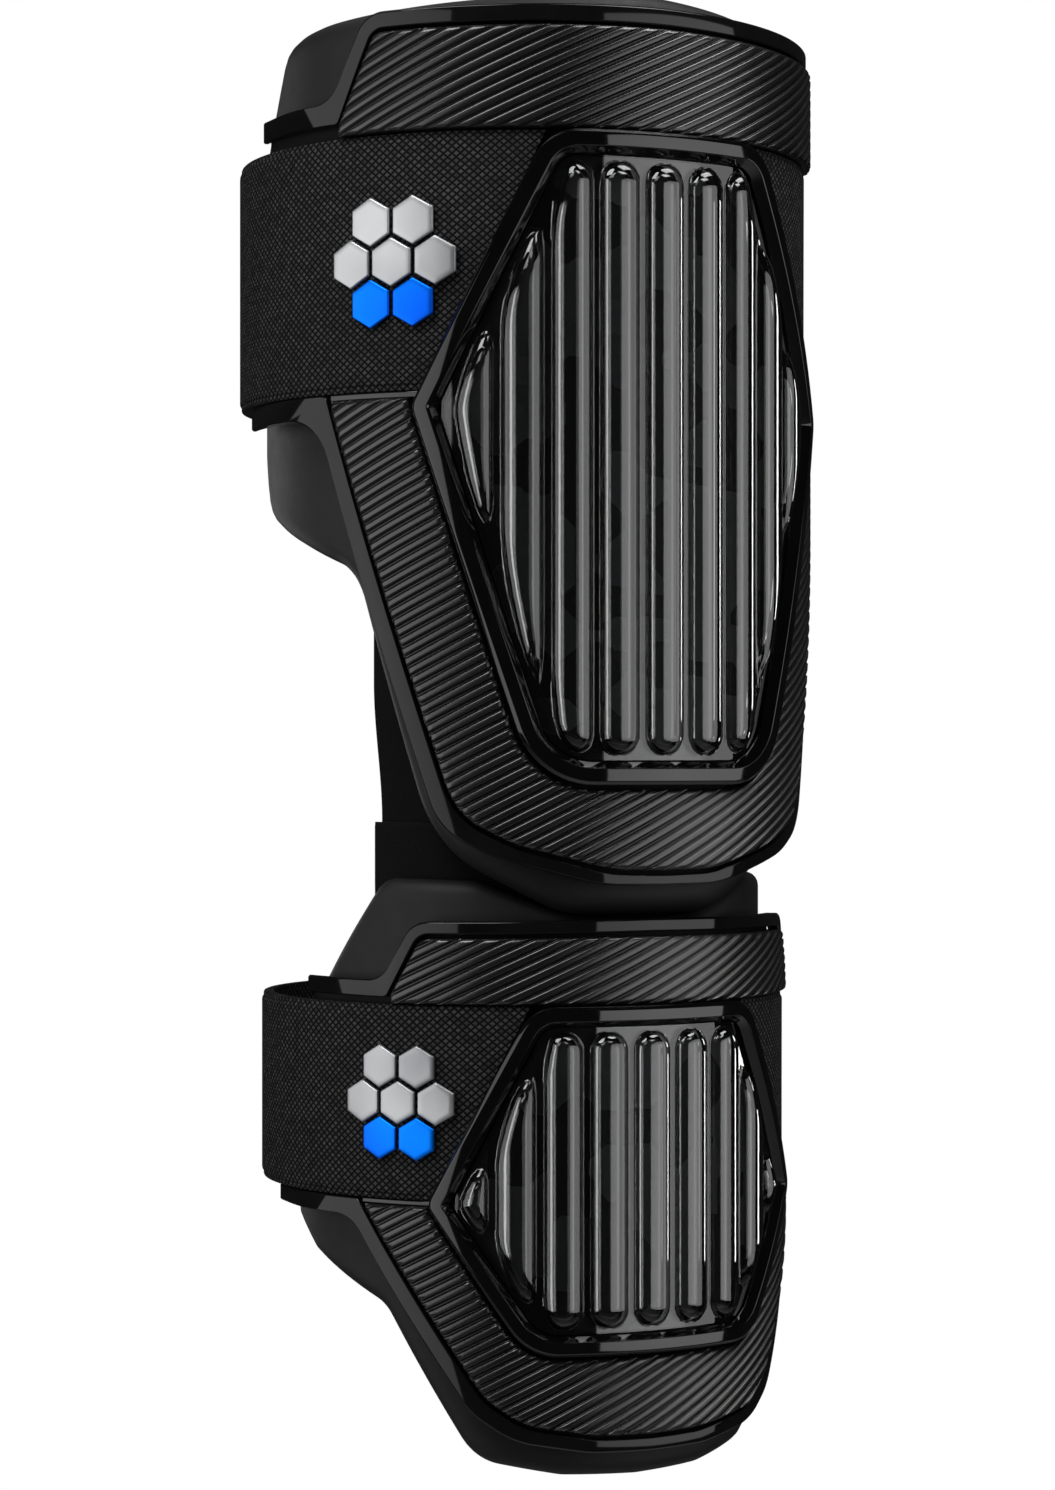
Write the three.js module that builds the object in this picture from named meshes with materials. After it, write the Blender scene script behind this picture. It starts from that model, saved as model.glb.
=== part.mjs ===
// Batter's elbow guard, held as it is worn: a large guard for the upper arm over a small one
// for the forearm, joined behind the elbow by two fabric tongues.
//
// Millimetres, +Z up. Z runs along the arm and is zero at the elbow gap. The front faces -Y.
// Every piece lies wrapped round the arm's axis. `turn` is the angle from the front in
// degrees, the same to the left and to the right, and outlines are drawn in the unrolled
// plane: x is the arc length on the guard's face, y is the height.
import * as THREE from 'three';

const clearance = 0.3;         // between two pieces that touch
const upperBottom = -2.4;      // height of the upper pad's lowest point
const elbowLap = 6.9;          // how far the lower pad's shoulders rise past that point
const slimmer = 4;             // how much less the lower pad's radius is than the upper one's
const edgeBreak = 0.5;         // bevel on the rims' outer edges
const cornerTrim = 0.6;        // how far short of a sharp corner a wrapped plate ends
const columnStep = 9.5;        // most arc length that one flat of a wrapped solid spans
const columnLeast = 2.4;       // and the least
const arcSteps = 3;            // chords in each rounded corner

// Guards. Radii grow outward: pad, shell, then all that sits on the shell's face.
const upper = {
  name: 'upper',
  strapWidth: 50.5,
  belowStrap: 102.9,           // from the strap down to the pad's lowest point
  aboveStrap: 29,              // from the strap up to the pad's top
  padOuter: 53.6,
  padThickTop: 8.6,
  padThickBottom: 8.6,
  padRound: 2.6,
  wingTurn: 74,                // where the pad's wings start to lean in at the top
  wingLean: 5,
  shellThick: 2.5,
  rimWidth: 3.4,
  rimRise: 2.9,
  rimLip: 0.9,
  panelThick: 3.9,
  panelBevel: 0.9,
  groove: 1,                   // between a panel and what frames it
  ledge: 1.5,                  // bare shell between the strap and the lower panel
  frameThick: 5.4,
  frameBevel: 0.8,
  frameCrest: 2.5,             // the frame's flat, between its bevel and its inner slope
  frameFall: 2,                // how far the inner slope drops to the window
  frameWidth: 4.6,
  strapThick: 2.5,
  strapBevel: 0.4,
  backingThick: 0.6,
  windowLift: 1.9,             // from the shell to the window's plate
  windowThick: 1.2,
  fluteCount: 9,
  flutePitch: 9.9,
  fluteWidth: 8,
  fluteRise: 2.3,
  fluteEnd: 0.8,               // from a flute's end to the edge of the plate
  tabHigh: 4.4,
  tabGap: 2.8,                 // between the strap and the upper tabs
  tabTopTurn: 94.5,
  tabBottomTurn: 104,
  tabFade: 30,                 // arc length over which a tab thins out
  strapUprightTurn: 66,        // behind this the strap's columns stand upright
  // The frame is six-sided. It starts at the strap's upper edge; its waist and its foot lie
  // below the lower one.
  frameTopTurn: 23.2,
  frameWaistTurn: 49,
  frameBottomTurn: 25.6,
  frameWaistDrop: 3.3,
  frameFootDrop: 77.4,
  frameTopRound: 10,
  frameWaistRound: 4.5,
  frameBottomRound: 16,
  badgeTurn: 53.5,
  badgeCell: 8.4,
  badgeGap: 0.9,
  badgeThick: 0.7,
  // Corners of each edge. rise is a share of aboveStrap and fall one of belowStrap, and round
  // is a share of the same size. rim is a share of rimWidth along the side that starts there.
  padTopEdge: [
    { turn: 0, rise: 1, round: 0 },
    { turn: 62, rise: 0.9, round: 1.38 },
    { turn: 102, rise: 0.84, round: 0.48 },
    { turn: 116, rise: 0.3, round: 0 },
  ],
  padBottomEdge: [
    { turn: 0, fall: 1, round: 0 },
    { turn: 19, fall: 1, round: 0.23 },
    { turn: 48, fall: 0.875, round: 0.27 },
    { turn: 68, fall: 0.34, round: 0.12 },
    { turn: 106, fall: 0.228, round: 0.13 },
    { turn: 116, fall: 0.1, round: 0 },
  ],
  panelTopEdge: [
    { turn: 66.2, rise: 0.02, round: 0, rim: 1 },
    { turn: 57.2, rise: 0.69, round: 0.1, rim: 1 },
    { turn: 0, rise: 0.71, round: 0, rim: 1 },
  ],
  panelBottomEdge: [
    { turn: 67.9, fall: 0.015, round: 0, rim: 1.06 },
    { turn: 40.5, fall: 0.81, round: 0.16, rim: 0.97 },
    { turn: 29, fall: 0.866, round: 0.29, rim: 0.76 },
    { turn: 11, fall: 0.913, round: 0.29, rim: 0.65 },
    { turn: 0, fall: 0.915, round: 0, rim: 0.65 },
  ],
};

const lower = {
  name: 'lower',
  strapWidth: 38.5,
  belowStrap: 55.3,
  aboveStrap: 24.8,
  padOuter: upper.padOuter - slimmer,
  padThickTop: 4.9,
  padThickBottom: 8.6,
  padRound: 2.2,
  wingTurn: 60,
  wingLean: 1,
  shellThick: 1.9,
  rimWidth: 3,
  rimRise: 2.5,
  rimLip: 0.8,
  panelThick: 3.4,
  panelBevel: 0.8,
  groove: 0.9,
  ledge: 1.2,
  frameThick: 4.8,
  frameBevel: 0.7,
  frameCrest: 2.2,
  frameFall: 1.8,
  frameWidth: 3.9,
  strapThick: 2.5,
  strapBevel: 0.4,
  backingThick: 0.6,
  windowLift: 1.7,
  windowThick: 1.1,
  fluteCount: 9,
  flutePitch: 9.5,
  fluteWidth: 7.7,
  fluteRise: 2.1,
  fluteEnd: 0.7,
  tabHigh: 3.4,
  tabGap: 1.4,
  tabTopTurn: 83,
  tabBottomTurn: 98,
  tabFade: 26,
  strapUprightTurn: 66,
  frameTopTurn: 26,
  frameWaistTurn: 47.8,
  frameBottomTurn: 26.8,
  frameWaistDrop: 0.7,
  frameFootDrop: 30.1,
  frameTopRound: 8,
  frameWaistRound: 3.5,
  frameBottomRound: 12,
  badgeTurn: 54.5,
  badgeCell: 7.4,
  badgeGap: 0.8,
  badgeThick: 0.7,
  padTopEdge: [
    { turn: 0, rise: 0.68, round: 0 },
    { turn: 15, rise: 0.69, round: 0.48 },
    { turn: 39, rise: 0.98, round: 0.32 },
    { turn: 63, rise: 1, round: 0.28 },
    { turn: 87, rise: 0, round: 0 },
    { turn: 97, rise: -0.4, round: 0 },
  ],
  padBottomEdge: [
    { turn: 0, fall: 1, round: 0 },
    { turn: 19, fall: 0.99, round: 0.36 },
    { turn: 39.5, fall: 0.935, round: 0.25 },
    { turn: 62.5, fall: 0.4, round: 0.15 },
    { turn: 87, fall: 0.24, round: 0.18 },
    { turn: 97, fall: 0.12, round: 0 },
  ],
  panelTopEdge: [
    { turn: 57.2, rise: 0.03, round: 0, rim: 0.87 },
    { turn: 49.6, rise: 0.53, round: 0.12, rim: 0.87 },
    { turn: 0, rise: 0.55, round: 0, rim: 0.73 },
  ],
  panelBottomEdge: [
    { turn: 63.4, fall: 0.02, round: 0, rim: 1.13 },
    { turn: 35.6, fall: 0.7, round: 0.25, rim: 1.07 },
    { turn: 27.5, fall: 0.79, round: 0.29, rim: 0.93 },
    { turn: 12, fall: 0.832, round: 0.36, rim: 0.87 },
    { turn: 0, fall: 0.836, round: 0, rim: 0.87 },
  ],
};

// Fabric tongues behind the elbow
const bridge = {
  halfTurn: 71,
  thick: 1.8,
  tuckUp: 26,                  // how far the upper tongue reaches up inside the upper pad
  hem: 15.5,                   // height of the lower tongue's hem
  lap: 20,                     // how far the upper tongue runs down inside the lower one
  tuckDown: 30,                // how far the lower tongue reaches down inside the lower pad
  swell: 14,                   // height over which the upper tongue moves out to its pad
};

const looks = {
  foam: { color: '#2b2b2c', roughness: 0.85, metalness: 0 },
  shell: { color: '#0b0b0c', roughness: 0.2, metalness: 0 },
  rubber: { color: '#161617', roughness: 0.5, metalness: 0 },
  strap: { color: '#18181a', roughness: 0.9, metalness: 0 },
  fabric: { color: '#0d0d0e', roughness: 0.95, metalness: 0 },
  backing: { color: '#1d1d1f', roughness: 0.6, metalness: 0 },
  clear: { color: '#9a9c9f', roughness: 0.05, metalness: 0, transparent: true, opacity: 0.45 },
  silver: { color: '#d4d6d9', roughness: 0.35, metalness: 0.6 },
  blue: { color: '#0a6fe8', roughness: 0.4, metalness: 0.2 },
};

// Heights and radii that follow from a guard's sizes and the height of its lowest point
function derive(size, bottom) {
  const shellInner = size.padOuter + clearance;
  const seat = shellInner + size.shellThick + clearance;
  const strapLow = bottom + size.belowStrap;
  const strapHigh = strapLow + size.strapWidth;
  return {
    ...size,
    bottom,
    strapLow,
    strapHigh,
    top: strapHigh + size.aboveStrap,
    padInnerTop: size.padOuter - size.padThickTop,
    padInnerBottom: size.padOuter - size.padThickBottom,
    shellInner,
    seat,
    face: seat + size.panelThick,
    strapOuter: seat + size.strapThick,
  };
}

// Paths in the unrolled plane

const length = (a, b) => Math.hypot(b.x - a.x, b.y - a.y);

function arcLength(guard, turn) {
  return THREE.MathUtils.degToRad(turn) * guard.face;
}

// Reads a table of corners: rise counts up from the strap, fall counts down from it
function cornersOf(guard, table) {
  return table.map(({ turn, rise, fall, round, rim = 0 }) => ({
    x: arcLength(guard, turn),
    y: fall === undefined ? guard.strapHigh + rise * guard.aboveStrap
      : guard.strapLow - fall * guard.belowStrap,
    round: round * (fall === undefined ? guard.aboveStrap : guard.belowStrap),
    rim: rim * guard.rimWidth,
  }));
}

function crossing(a, dirA, b, dirB) {
  const cross = dirA.x * dirB.y - dirA.y * dirB.x;
  if (Math.abs(cross) < 1e-4) return { x: b.x, y: b.y };
  const along = ((b.x - a.x) * dirB.y - (b.y - a.y) * dirB.x) / cross;
  return { x: a.x + dirA.x * along, y: a.y + dirA.y * along };
}

// Moves each side of an outline to its left by the distance that `by` gives for it, and
// keeps its rounded corners concentric
function shifted(corners, by, closed = false) {
  const count = corners.length;
  const sides = corners.map((corner, i) => {
    const next = corners[(i + 1) % count];
    const long = length(corner, next) || 1;
    const dir = { x: (next.x - corner.x) / long, y: (next.y - corner.y) / long };
    const move = by(corner, i);
    return { dir, from: { x: corner.x - dir.y * move, y: corner.y + dir.x * move }, move };
  });
  return corners.map((corner, i) => {
    const last = !closed && i === count - 1;
    const first = !closed && i === 0;
    const before = sides[(i - 1 + count) % count];
    const after = last ? before : sides[i];
    if (first) return { ...corner, ...after.from };
    if (last) {
      const { dir, move } = before;
      return { ...corner, x: corner.x - dir.y * move, y: corner.y + dir.x * move };
    }
    const bend = before.dir.x * after.dir.y - before.dir.y * after.dir.x;
    const move = (before.move + after.move) / 2;
    const round = corner.round > 0 ? Math.max(0.4, corner.round - Math.sign(bend) * move) : 0;
    return { ...corner, ...crossing(before.from, before.dir, after.from, after.dir), round };
  });
}

// The points of an outline, each corner with a radius replaced by an arc
function rounded(corners, closed = false) {
  const count = corners.length;
  return corners.flatMap((corner, i) => {
    const inside = closed || (i > 0 && i < count - 1);
    if (!inside || !corner.round) return [{ x: corner.x, y: corner.y }];
    const before = corners[(i - 1 + count) % count];
    const after = corners[(i + 1) % count];
    const back = Math.atan2(before.y - corner.y, before.x - corner.x);
    const ahead = Math.atan2(after.y - corner.y, after.x - corner.x);
    let open = ahead - back;
    if (open > Math.PI) open -= 2 * Math.PI;
    if (open < -Math.PI) open += 2 * Math.PI;
    const half = Math.abs(open) / 2;
    const reach = Math.min(
      corner.round / Math.tan(half), 0.47 * length(corner, before), 0.47 * length(corner, after));
    const radius = reach * Math.tan(half);
    const middle = back + open / 2;
    const centre = {
      x: corner.x + Math.cos(middle) * radius / Math.sin(half),
      y: corner.y + Math.sin(middle) * radius / Math.sin(half),
    };
    const start = back - Math.sign(open) * Math.PI / 2;
    const sweep = -Math.sign(open) * (Math.PI - Math.abs(open));
    return Array.from({ length: arcSteps + 1 }, (_, step) => {
      const angle = start + sweep * step / arcSteps;
      return { x: centre.x + Math.cos(angle) * radius, y: centre.y + Math.sin(angle) * radius };
    });
  });
}

function mirrored(points) {
  const other = points.filter((p) => Math.abs(p.x) > 1e-6).map((p) => ({ x: -p.x, y: p.y }));
  return points[0].x > points.at(-1).x ? [...points, ...other.reverse()]
    : [...other.reverse(), ...points];
}

// Height of a path at x. The path runs one way along x.
function heightAt(path, x) {
  const way = path.at(-1).x > path[0].x ? path : [...path].reverse();
  if (x <= way[0].x) return way[0].y;
  const after = way.findIndex((p) => p.x >= x);
  if (after < 0) return way.at(-1).y;
  const [a, b] = [way[after - 1], way[after]];
  return THREE.MathUtils.mapLinear(x, a.x, b.x, a.y, b.y);
}

// Every x at which a column is needed on both sides of the middle: each vertex of the paths,
// and more wherever two of those lie far apart
function columnsOf(paths, end) {
  const marks = paths.flat().map((p) => p.x)
    .filter((x) => x > columnLeast && x < end - columnLeast);
  const kept = [end];
  for (const x of [...marks.sort((a, b) => b - a), 0]) {
    const start = kept.at(-1);
    const gap = start - x;
    if (gap < columnLeast && x !== 0) continue;
    const parts = Math.ceil(gap / columnStep);
    for (let part = 1; part <= parts; part += 1) kept.push(start - gap * part / parts);
  }
  return [...kept.slice(0, -1).map((x) => -x), 0, ...kept.slice(0, -1).reverse()];
}

// Solids

function wrap(guard, point, radius) {
  const angle = point.x / guard.face;
  return [radius * Math.sin(angle), -radius * Math.cos(angle), point.y];
}

// Joins rings of points into one closed body. A ring lists its outer points from one edge
// to the other and then as many inner points back. Each quad is split along its shorter
// diagonal, which keeps its flats close to the round.
function solidOf(rings, closed = false) {
  const size = rings[0].length;
  const points = rings.flat();
  const index = [];
  const apart = (a, b) => Math.hypot(...points[a].map((value, i) => value - points[b][i]));
  const quad = (a, b, c, d) => {
    if (apart(a, c) <= apart(b, d)) index.push(a, b, c, a, c, d);
    else index.push(b, c, d, b, d, a);
  };
  const spans = closed ? rings.length : rings.length - 1;
  for (let i = 0; i < spans; i += 1) {
    const here = i * size;
    const next = ((i + 1) % rings.length) * size;
    for (let j = 0; j < size; j += 1) {
      const k = (j + 1) % size;
      quad(here + j, here + k, next + k, next + j);
    }
  }
  if (!closed) {
    const last = (rings.length - 1) * size;
    for (let j = 0; j < size / 2 - 1; j += 1) {
      const across = size - 1 - j;
      quad(j, across, across - 1, j + 1);
      quad(last + j, last + j + 1, last + across - 1, last + across);
    }
  }
  const position = points.flat();
  if (signedVolume(position, index) < 0) index.reverse();
  const geometry = new THREE.BufferGeometry();
  geometry.setAttribute('position', new THREE.Float32BufferAttribute(position, 3));
  geometry.setIndex(index);
  return geometry;
}

function signedVolume(position, index) {
  const corner = (i) => new THREE.Vector3().fromArray(position, 3 * index[i]);
  let sum = 0;
  for (let i = 0; i < index.length; i += 3) {
    sum += corner(i).dot(corner(i + 1).cross(corner(i + 2)));
  }
  return sum;
}

// Adds points to two matching edges wherever a side is longer than a column is wide
function refined(edgeA, edgeB, closed) {
  const pairs = [];
  edgeA.forEach((a, i) => {
    const b = edgeB[i];
    pairs.push([a, b]);
    if (!closed && i === edgeA.length - 1) return;
    const [nextA, nextB] = [edgeA[(i + 1) % edgeA.length], edgeB[(i + 1) % edgeB.length]];
    const wide = Math.max(Math.abs(nextA.x - a.x), Math.abs(nextB.x - b.x));
    const across = Math.min(columnStep / 2, Math.abs(a.x - b.x));
    const parts = Math.ceil(wide / (columnStep - across) - 1e-6);
    for (let part = 1; part < parts; part += 1) {
      const mix = (p, q) => ({
        x: p.x + (q.x - p.x) * part / parts, y: p.y + (q.y - p.y) * part / parts,
      });
      pairs.push([mix(a, nextA), mix(b, nextB)]);
    }
  });
  return pairs;
}

// A wrapped solid between two edges with as many points each. Each row of the section names
// its place across, as a share plus an inset in millimetres, and its two radii.
function band(guard, edgeA, edgeB, rowsAt, closed = false) {
  const rings = refined(edgeA, edgeB, closed).map(([a, b]) => {
    const rows = typeof rowsAt === 'function' ? rowsAt(a, b) : rowsAt;
    const wide = length(a, b);
    const most = Math.max(...rows.map((row) => Math.abs(row.inset)), 1e-6);
    const squeeze = Math.min(1, wide / (2.4 * most));
    const place = ({ share, inset }) => {
      const t = share + inset * squeeze / Math.max(wide, 1e-6);
      return { x: a.x + (b.x - a.x) * t, y: a.y + (b.y - a.y) * t };
    };
    const outer = rows.map((row) => wrap(guard, place(row), row.outer));
    const inner = rows.map((row) => wrap(guard, place(row), row.inner));
    return [...outer, ...inner.reverse()];
  });
  return solidOf(rings, closed);
}

// A wrapped solid made of upright columns between a lower and an upper edge, from -end to end
function columns(guard, lowEdge, highEdge, end, rowsAt) {
  const places = columnsOf([lowEdge, highEdge], end);
  const low = places.map((x) => ({ x, y: heightAt(lowEdge, x) }));
  const high = places.map((x) => ({ x, y: heightAt(highEdge, x) }));
  return band(guard, low, high, rowsAt);
}

const flatRows = (inner, outer) => [0, 1].map((share) => ({ share, inset: 0, inner, outer }));

// A plate with bevelled edges, with `spans` flats across it
function plateRows(inner, outer, bevel, spans) {
  const rows = [{ share: 0, inset: 0, inner, outer: outer - bevel }];
  for (let i = 0; i <= spans; i += 1) {
    const inset = i === 0 ? bevel : i === spans ? -bevel : 0;
    rows.push({ share: i / spans, inset, inner, outer });
  }
  rows.push({ share: 1, inset: 0, inner, outer: outer - bevel });
  return rows;
}

// Edges of a guard that several pieces share

function edgesOf(guard) {
  const topPanel = cornersOf(guard, guard.panelTopEdge);
  const bottomPanel = cornersOf(guard, guard.panelBottomEdge);
  const tab = (panel, height, turn, meet) => [
    { x: arcLength(guard, turn), y: height, round: 0, rim: guard.tabHigh },
    { ...crossing({ x: 0, y: height }, { x: 1, y: 0 }, panel[0], sideDir(panel)),
      round: meet, rim: panel[0].rim },
    ...panel.slice(1),
  ];
  const tabTop = guard.strapHigh + guard.tabGap;
  const tabBottom = guard.strapLow - clearance;
  const topOut = shifted(topPanel, () => -guard.groove);
  const bottomOut = shifted(bottomPanel, () => guard.groove);
  const rimTop = tab(topOut, tabTop, guard.tabTopTurn, 1);
  const rimBottom = tab(bottomOut, tabBottom, guard.tabBottomTurn, 1);
  const rimTopOuter = shifted(rimTop, (corner) => -corner.rim);
  const rimBottomOuter = shifted(rimBottom, (corner) => corner.rim);
  rimTopOuter[1].round = 2 * guard.tabHigh;
  rimBottomOuter[1].round = 3 * guard.tabHigh;
  const full = (corners) => mirrored(rounded(corners));
  return {
    topPanel: full(topPanel),
    bottomPanel: full(bottomPanel),
    rimTop: full(rimTop),
    rimTopOuter: full(rimTopOuter),
    rimBottom: full(rimBottom),
    rimBottomOuter: full(rimBottomOuter),
  };
}

function sideDir([a, b]) {
  return { x: b.x - a.x, y: b.y - a.y };
}

function frameCorners(guard) {
  const corner = (turn, y, round) => ({ x: arcLength(guard, turn), y, round });
  const waist = guard.strapLow - guard.frameWaistDrop;
  const foot = guard.strapLow - guard.frameFootDrop;
  const right = [
    corner(guard.frameTopTurn, guard.strapHigh, guard.frameTopRound),
    corner(guard.frameWaistTurn, waist, guard.frameWaistRound),
    corner(guard.frameBottomTurn, foot, guard.frameBottomRound),
  ];
  return [...right, ...right.map((c) => ({ ...c, x: -c.x })).reverse()];
}

// Outline of the frame, `inward` of its outer edge
function frameOutline(guard, inward) {
  return rounded(shifted(frameCorners(guard), () => -inward, true), true);
}

// The upper or lower half of a closed outline, from left to right
function halfOf(outline, guard, side) {
  const right = outline.reduce((best, p) => (p.x > best.x ? p : best));
  const split = right.y;
  return outline.filter((p) => side * (p.y - split) >= -1e-6).sort((a, b) => a.x - b.x);
}

// Pieces

function padShape(guard) {
  const low = mirrored(rounded(cornersOf(guard, guard.padBottomEdge)));
  const high = mirrored(rounded(cornersOf(guard, guard.padTopEdge)));
  const end = Math.max(...low.map((p) => p.x));
  const innerAt = (y) => THREE.MathUtils.mapLinear(
    y, guard.bottom, guard.top, guard.padInnerBottom, guard.padInnerTop);
  const wingStart = arcLength(guard, guard.wingTurn);
  return columns(guard, low, high, end, (a, b) => {
    const wall = guard.padOuter - innerAt((a.y + b.y) / 2);
    const round = Math.min(guard.padRound, wall / 3);
    const lean = guard.wingLean * THREE.MathUtils.smoothstep(Math.abs(a.x), wingStart, end);
    const waist = (guard.strapHigh - a.y) / (b.y - a.y);
    return [
      { share: 0, inset: 0, inner: innerAt(a.y) + round, outer: guard.padOuter - round },
      { share: 0, inset: round, inner: innerAt(a.y), outer: guard.padOuter },
      { share: THREE.MathUtils.clamp(waist, 0.15, 0.85), inset: 0,
        inner: innerAt(guard.strapHigh), outer: guard.padOuter },
      { share: 1, inset: -round, inner: innerAt(b.y) - lean, outer: guard.padOuter - lean },
      { share: 1, inset: 0, inner: innerAt(b.y) + round - lean,
        outer: guard.padOuter - round - lean },
    ];
  });
}

// The shell's plate runs under both rims and the strap
function shellShape(guard, edges) {
  const middle = (a, b) => a.map((p, i) => ({ x: (p.x + b[i].x) / 2, y: (p.y + b[i].y) / 2 }));
  const low = middle(edges.rimBottom, edges.rimBottomOuter);
  const high = middle(edges.rimTop, edges.rimTopOuter);
  const end = Math.min(low[0].x, high[0].x);
  const outer = guard.seat - clearance;
  return columns(guard, low, high, end, flatRows(guard.shellInner, outer));
}

// The rim falls off to its lip's height along its tabs
function rimShape(guard, inner, outer) {
  const lip = guard.seat + guard.rimLip;
  const tabEnd = Math.max(...inner.map((p) => p.x));
  const tabStart = tabEnd - guard.tabFade;
  return band(guard, outer, inner, (a, b) => {
    const fade = THREE.MathUtils.smoothstep(Math.abs(b.x), tabStart, tabEnd);
    const crest = lip + (guard.rimRise - guard.rimLip) * (1 - fade);
    return [
      { share: 0, inset: 0, inner: guard.seat, outer: crest - edgeBreak },
      { share: 0, inset: edgeBreak, inner: guard.seat, outer: crest },
      { share: 1, inset: 0, inner: guard.seat, outer: crest },
    ];
  });
}

function topPanelShape(guard, edges) {
  const base = guard.strapHigh + clearance;
  const end = edges.topPanel[0].x - cornerTrim;
  const low = [{ x: -end, y: base }, { x: end, y: base }];
  const rows = plateRows(guard.seat, guard.face, guard.panelBevel, 1);
  return columns(guard, low, edges.topPanel, end, rows);
}

// The lower panel runs down both sides of the frame and under it
function bottomPanelShape(guard, edges) {
  const crest = guard.strapLow - guard.ledge;
  const end = edges.bottomPanel[0].x - cornerTrim;
  const outline = halfOf(frameOutline(guard, -guard.groove), guard, -1);
  const hole = outline.filter((p) => p.y < crest);
  const [edge, beyond] = outline.slice(hole.length - 1 + outline.indexOf(hole[0]));
  const meet = beyond ? THREE.MathUtils.mapLinear(crest, edge.y, beyond.y, edge.x, beyond.x)
    : edge.x + cornerTrim;
  const high = [
    { x: -end, y: crest }, { x: -meet, y: crest },
    ...hole,
    { x: meet, y: crest }, { x: end, y: crest },
  ];
  const rows = plateRows(guard.seat, guard.face, guard.panelBevel, 1);
  return columns(guard, edges.bottomPanel, high, end, rows);
}

function frameShape(guard) {
  const crest = guard.seat + guard.frameThick;
  return band(guard, frameOutline(guard, 0), frameOutline(guard, guard.frameWidth), [
    { share: 0, inset: 0, inner: guard.seat, outer: crest - guard.frameBevel },
    { share: 0, inset: guard.frameBevel, inner: guard.seat, outer: crest },
    { share: 0, inset: guard.frameBevel + guard.frameCrest, inner: guard.seat, outer: crest },
    { share: 1, inset: 0, inner: guard.seat, outer: crest - guard.frameFall },
  ], true);
}

// Both edges of what fills the frame
function fillingEdges(guard) {
  const outline = frameOutline(guard, guard.frameWidth + clearance);
  return { low: halfOf(outline, guard, -1), high: halfOf(outline, guard, 1) };
}

function backingShape(guard) {
  const { low, high } = fillingEdges(guard);
  const end = low.at(-1).x - cornerTrim;
  const outer = guard.seat + guard.backingThick;
  return columns(guard, low, high, end, flatRows(guard.seat, outer));
}

// Clear plate with upright half-round flutes that end at the frame
function windowShape(guard) {
  const { low, high } = fillingEdges(guard);
  const end = low.at(-1).x - cornerTrim;
  const inner = guard.seat + guard.windowLift;
  const outer = inner + guard.windowThick;
  const halfWidth = guard.fluteWidth / 2;
  const offsets = [-1, -0.74, 0, 0.74, 1];
  const places = [];
  for (let i = 0; i < guard.fluteCount; i += 1) {
    const centre = (i - (guard.fluteCount - 1) / 2) * guard.flutePitch;
    for (const offset of offsets) {
      const x = centre + offset * halfWidth;
      if (Math.abs(x) < end - edgeBreak) places.push({ x, arc: Math.sqrt(1 - offset * offset) });
    }
  }
  const stops = [{ x: -end, arc: 0 }, ...places, { x: end, arc: 0 }];
  const lowEdge = stops.map(({ x }) => ({ x, y: heightAt(low, x) }));
  const highEdge = stops.map(({ x }) => ({ x, y: heightAt(high, x) }));
  const arcAt = new Map(stops.map(({ x, arc }) => [x, arc]));
  return band(guard, lowEdge, highEdge, (a) => {
    const arc = arcAt.get(a.x);
    const start = guard.fluteEnd + halfWidth * (1 - arc);
    const crest = outer + guard.fluteRise * arc;
    return [
      { share: 0, inset: 0, inner, outer },
      { share: 0, inset: start, inner, outer },
      { share: 0, inset: start + guard.fluteRise, inner, outer: crest },
      { share: 1, inset: -start - guard.fluteRise, inner, outer: crest },
      { share: 1, inset: -start, inner, outer },
      { share: 1, inset: 0, inner, outer },
    ];
  });
}

// The strap runs round the back from one slanted side of the frame to the other
function strapShape(guard) {
  const corners = frameCorners(guard);
  const [top, waist] = corners;
  const slant = (y) => crossing({ x: 0, y }, { x: 1, y: 0 }, top, sideDir([top, waist])).x;
  const gap = clearance / Math.cos(Math.atan2(waist.x - top.x, top.y - waist.y));
  const ends = { low: slant(guard.strapLow) + gap, high: slant(guard.strapHigh) + gap };
  const round = 2 * Math.PI * guard.face;
  const upright = arcLength(guard, guard.strapUprightTurn);
  const low = [ends.low, upright, round - upright, round - ends.low];
  const high = [ends.high, upright, round - upright, round - ends.high];
  return band(
    guard, low.map((x) => ({ x, y: guard.strapLow })),
    high.map((x) => ({ x, y: guard.strapHigh })),
    plateRows(guard.seat, guard.strapOuter, guard.strapBevel, 3));
}

// Upper tongue: flat against the upper pad, then inside the lower tongue
function upperTongueShape(up, down) {
  const end = arcLength(up, bridge.halfTurn);
  const padStart = heightAt(mirrored(rounded(cornersOf(up, up.padBottomEdge))), end);
  const top = padStart + bridge.tuckUp;
  const inPad = up.padInnerTop - clearance;
  const inTongue = lowerTongueInner(down) - clearance;
  const levels = [
    { y: bridge.hem - bridge.lap, outer: inTongue },
    { y: bridge.hem + clearance, outer: inTongue },
    { y: bridge.hem + bridge.swell, outer: (inTongue + inPad) / 2 },
    { y: bridge.hem + 2 * bridge.swell, outer: inPad },
    { y: top, outer: inPad },
  ];
  return tongue(up, end, levels);
}

function lowerTongueInner(down) {
  return down.padInnerTop - clearance - bridge.thick;
}

function lowerTongueShape(up, down) {
  const end = arcLength(up, bridge.halfTurn);
  const low = down.top - bridge.tuckDown;
  const padInner = THREE.MathUtils.mapLinear(
    low, down.bottom, down.top, down.padInnerBottom, down.padInnerTop);
  return tongue(up, end, [
    { y: low, outer: padInner - clearance },
    { y: down.top, outer: down.padInnerTop - clearance },
    { y: bridge.hem, outer: down.padInnerTop - clearance },
  ], true);
}

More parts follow.
